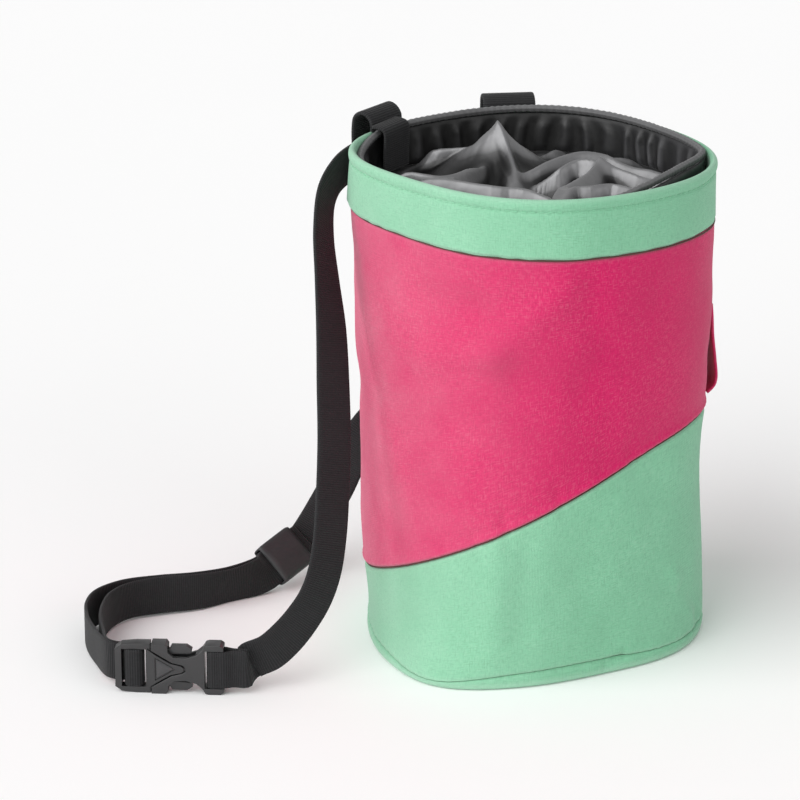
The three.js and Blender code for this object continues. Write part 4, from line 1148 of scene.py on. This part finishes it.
def ladder_wrap():
    """Behind the plug's frame, over its rung at the front, then back under and away."""
    behind = FRAME_THICK / 2 + FIT + STRAP_THICK / 2
    front = RUNG_THICK / 2 + FIT * 2 + STRAP_THICK / 2
    one = (SLOT_ONE[0] + SLOT_ONE[1]) / 2 * BUCKLE_LENGTH
    two = (SLOT_TWO[0] + SLOT_TWO[1]) / 2 * BUCKLE_LENGTH
    under = behind + STRAP_THICK + LAYER_GAP
    return buckle_spots([
        (-3.5, -behind - 2.6),
        (0, -behind - 0.6),
        (one - 0.9, -behind - 0.2),
        (one + 0.1, -behind + 1.1),
        (one + 0.2, 0.6),
        (one + 1.1, front),
        ((one + two) / 2, front + 0.15),
        (two - 1.3, front - 0.1),
        (two - 0.1, 0.6),
        (two, -1.4),
        (two - 0.5, -under + 1),
        (two - 2.2, -under - 0.1),
        (one, -under - 0.1),
        (-0.5, -under - 0.7),
        (-4, -under - 3),
    ])


def facing(spots):
    """Width direction of each spot that only has a facing angle: square to it and to the path."""
    points = [spot[0] for spot in spots]
    done = []
    for i, (point, way) in enumerate(spots):
        if np.ndim(way) == 0:
            ahead = unit(points[min(i + 1, len(points) - 1)] - points[max(i - 1, 0)])
            way = unit(np.cross(polar(way, 1, 0.0), ahead))
        done.append((point, way))
    return done


def round_the_rim():
    """Level stretch at the loops' height, lying flat against each loop's inner face."""
    height = HEIGHT - BELT_BELOW_RIM
    stand = LOOP_STAND - LOOP_THICK / 2 - LAYER_GAP - STRAP_THICK / 2

    def in_loop(turn):
        radius = wall(turn, height) + stand
        return [
            (polar(turn + aside, radius / np.cos(np.radians(aside)), height), turn + 180)
            for aside in (9, 3, -3, -9)
        ]

    between = []
    for share in (0.37, 0.63):
        turn = mix(LEFT_TURN, BACK_TURN, share)
        between.append((polar(turn, wall(turn, height) + stand, height), turn + 180))
    return in_loop(LEFT_TURN) + between + in_loop(BACK_TURN)


def roll_over(start, heading, target):
    """The strap rolls half a turn about a slanting axis and comes out heading for its target."""
    going = unit(heading)
    axis = unit(going + unit(target - start))
    sense = 1 if np.dot(np.cross(axis, going), polar(90, 1, 0.0)) > 0 else -1
    steps = 7
    slope = np.sqrt(1 - np.dot(axis, going) ** 2)
    stride = np.pi * ROLL_RADIUS / slope / steps
    spots = []
    point = start
    for step in range(steps):
        point = point + stride * rotated(going, axis, sense * 180 * (step + 0.5) / steps)
        spots.append((point, rotated(UP, axis, sense * 180 * (step + 1) / steps)))
    return spots


def leaning(face, along, lean):
    return rotated(unit(np.cross(face, along)), along, lean)


def keeper_frame():
    """Middle of the keeper on the main layer, with the belt's directions through it."""
    start, end = BACK_STRAND[KEEPER_ROW], BACK_STRAND[KEEPER_ROW + 1]
    along = unit(belt_point(end) - belt_point(start))
    wide = leaning(polar((start[3] + end[3]) / 2, 1, 0.0), along, (start[4] + end[4]) / 2)
    return (belt_point(start) + belt_point(end)) / 2, along, wide, np.cross(along, wide)


def back_spots(layer):
    """Spots of the back strand; a layer of 1 lies inside the main one, of 0 is the main one."""
    spots = []
    for i, row in enumerate(BACK_STRAND):
        before = BACK_STRAND[max(0, i - 1)]
        after = BACK_STRAND[min(i + 1, len(BACK_STRAND) - 1)]
        along = unit(belt_point(after) - belt_point(before))
        wide = leaning(polar(row[3], 1, 0.0), along, row[4])
        gap = layer * (STRAP_THICK + LAYER_GAP + row[5] * BELT_REACH)
        spots.append((belt_point(row) - np.cross(along, wide) * gap, wide))
        if i == KEEPER_ROW:
            middle, along, wide, out = keeper_frame()
            for share in (-0.5, 0.5):
                spots.append((middle + share * KEEPER_LENGTH * along - out * gap, wide))
    return spots


def make_belt():
    rim = round_the_rim()
    last = rim[-1][0]
    main = back_spots(0)
    tail = back_spots(1)[KEEPER_ROW:][::-1]
    front = [(belt_point(row), row[3]) for row in FRONT_STRAND]
    roll = roll_over(last, last - rim[-2][0], main[0][0])
    spots = facing(sewn_end() + front + rim + roll + main + ladder_wrap() + tail)
    path = [point for point, _ in spots]
    wides = [wide for _, wide in spots]
    belt = swept("belt_strap", path, wides, STRAP_WIDTH, STRAP_THICK)
    dress(belt, black_webbing, "black_webbing", "belt_webbing")


def make_belt_stitches():
    """Two rows of stitches across the doubled end by the buckle, on its front face."""
    layer = (STRAP_THICK + LAYER_GAP) / 2 + STRAP_THICK / 2
    up = np.linspace(-STRAP_WIDTH / 2 + 1.6, STRAP_WIDTH / 2 - 1.6, 7)
    rows = [point for point, _ in buckle_spots([(BUCKLE_LENGTH + x, layer) for x in (5.2, 7.6)])]
    centres = np.concatenate([row + up[:, None] * UP for row in rows])
    along = np.tile(UP, (len(centres), 1))
    out = np.tile(buckle_out, (len(centres), 1))
    dress(grains("belt_stitches", centres, along, out, 1.5, 0.45), black_webbing, "black_webbing")


def make_keeper():
    """Keeper: a moulded sleeve round both layers, with round corners and a soft ridge outside."""
    middle, along, wide, out = keeper_frame()
    middle = middle - out * (STRAP_THICK + LAYER_GAP) / 2
    hole_wide = STRAP_WIDTH + KEEPER_ROOM * 2
    hole_thick = STRAP_THICK * 2 + LAYER_GAP + KEEPER_ROOM * 2
    around = np.radians(np.arange(96) * 360 / 96)

    def loop(half_wide, half_thick, power):
        x = np.sign(np.cos(around)) * np.abs(np.cos(around)) ** power * half_wide
        z = np.sign(np.sin(around)) * np.abs(np.sin(around)) ** power * half_thick
        return x, z

    rows = []
    for share in np.linspace(-1, 1, 19):
        ease = 0.7 * np.abs(share) ** 9
        x, z = loop(hole_wide / 2 + KEEPER_WALL - ease * 0.6, hole_thick / 2 + KEEPER_WALL - ease, 0.3)
        ridge = 0.7 * bell(x / 3.2) * (1 - share ** 8)
        lip_bead = 0.2 * bell((np.abs(share) - 0.8) / 0.07)
        z = z + np.sign(z) * (ridge + lip_bead) * np.minimum(1, np.abs(z))
        rows.append((share * SLEEVE_LENGTH / 2, x, z))
    for share in np.linspace(1, -1, 7):
        x, z = loop(hole_wide / 2, hole_thick / 2, 0.22)
        rows.append((share * (SLEEVE_LENGTH / 2 - 0.15), x, z))
    points = np.stack([
        middle + a * along + x[:, None] * wide + z[:, None] * out
        for a, x, z in rows
    ])
    piece = surface("keeper_sleeve", points, True)
    dress(piece, keeper_rubber, "keeper_rubber", "strap_keeper")


def make_buckle(node, name):
    """Moulded copy of a buckle half: its loose triangles joined, its edges rounded."""
    mesh = bpy.data.objects[node].data.copy()
    mesh.name = name
    mesh.materials.clear()
    work = bmesh.new()
    work.from_mesh(mesh)
    bmesh.ops.remove_doubles(work, verts=work.verts, dist=2e-5)
    bmesh.ops.dissolve_limit(work, angle_limit=np.radians(1), verts=work.verts, edges=work.edges)
    work.to_mesh(mesh)
    work.free()
    mesh.shade_smooth()
    piece = placed(name, mesh)
    bevel = piece.modifiers.new("round_edges", "BEVEL")
    bevel.width = 0.45 * MM
    bevel.segments = 3
    bevel.limit_method = "ANGLE"
    bevel.angle_limit = np.radians(28)
    bevel.harden_normals = True
    dress(piece, buckle_plastic, "buckle_plastic", node)


def make_inlay():
    """Bare glossy inlay in the plug's arrow-shaped recess: a rounded triangle, domed in front.

    Its outline is the recess's triangle drawn in towards its middle and rounded at the corners.
    Each ring of the dome is the outline drawn in by a share, standing off the recess's floor.
    """
    corners = np.array([(0.37, 0.26), (0.56, 0.5), (0.37, 0.74)]) * (BUCKLE_LENGTH, BUCKLE_TALL)
    middle = corners.mean(axis=0)
    share = np.arange(20)[:, None] / 20
    sides = [mix(a, b, share) for a, b in zip(corners, np.roll(corners, -1, axis=0))]
    outline = (np.concatenate(sides) - middle) * 0.86
    for _ in range(4):
        outline = (np.roll(outline, 1, axis=0) + 2 * outline + np.roll(outline, -1, axis=0)) / 4
    rows = []
    dome = [(0.3, 0.05), (1, 0.05), (1, 0.25), (0.97, 0.33), (0.9, 0.38), (0.7, 0.5), (0.4, 0.6), (0.1, 0.64)]
    for inward, out in dome:
        spot = outline * inward + middle
        rows.append(buckle_left + spot[:, :1] * buckle_along + spot[:, 1:] * UP
                    + (BUCKLE_THICK / 2 - FACE_RECESS + out) * buckle_out)
    piece = surface("buckle_inlay", np.stack(rows))
    dress(piece, glossy_plastic, "buckle_plastic")


def make_stage():
    """Pale floor, soft key light from the left, and an even white surrounding."""
    mesh = bpy.data.meshes.new("floor")
    side = 30.0
    corners = [(-side, -side, 0), (side, -side, 0), (side, side, 0), (-side, side, 0)]
    mesh.from_pydata(corners, [], [(0, 1, 2, 3)])
    floor = placed("floor", mesh)
    paint = Finish("floor_paint", Roughness=0.9, Specular_IOR_Level=0.1)
    tone = paint.tint(paint.noise(0.4, 2.0), (0.985, 0.985, 0.985, 1), (1.0, 1.0, 1.0, 1))
    mesh.materials.append(paint.done(tone))
    lights = [("key", 2.8, 70, (0.72, 0.54, -0.5)), ("fill", 0.7, 50, (-0.6, 0.75, -0.2))]
    for name, strength, softness, way in lights:
        sun = bpy.data.lights.new(name, "SUN")
        sun.energy = strength
        sun.angle = np.radians(softness)
        placed(name, sun).rotation_euler = Vector(way).to_track_quat("-Z", "Y").to_euler()
    world = bpy.data.worlds.new("studio")
    world.use_nodes = True
    world.node_tree.nodes["Background"].inputs["Color"].default_value = (1, 1, 1, 1)
    world.node_tree.nodes["Background"].inputs["Strength"].default_value = 0.5
    bpy.context.scene.world = world


def make_camera():
    """Camera at the photograph's angle, looking down on the bag by 18.6 degrees."""
    aim = Vector((-0.05155, 0, 0.09235))
    spot = Vector((-0.05155, -1.36479, 0.55165))
    camera = placed("camera", bpy.data.cameras.new("camera"))
    camera.data.lens = 166.6
    camera.data.sensor_width = 36
    camera.location = spot
    camera.rotation_euler = (aim - spot).to_track_quat("-Z", "Y").to_euler()
    bpy.context.scene.camera = camera
    bpy.context.scene.view_settings.view_transform = "Standard"


make_camera()
make_stage()
make_base()
make_panels()
make_rim()
make_seam_cords()
make_rim_stitches()
make_collar()
make_piping()
make_closure()
make_tab()
make_loop("left_loop_strap", "belt_loop_left", LEFT_TURN, LEFT_RISE)
make_loop("back_loop_strap", "belt_loop_back", BACK_TURN, BACK_RISE)
make_side_loop()
make_buckle("buckle_plug", "plug_moulding")
make_buckle("buckle_socket", "socket_moulding")
make_inlay()
make_belt()
make_belt_stitches()
make_keeper()
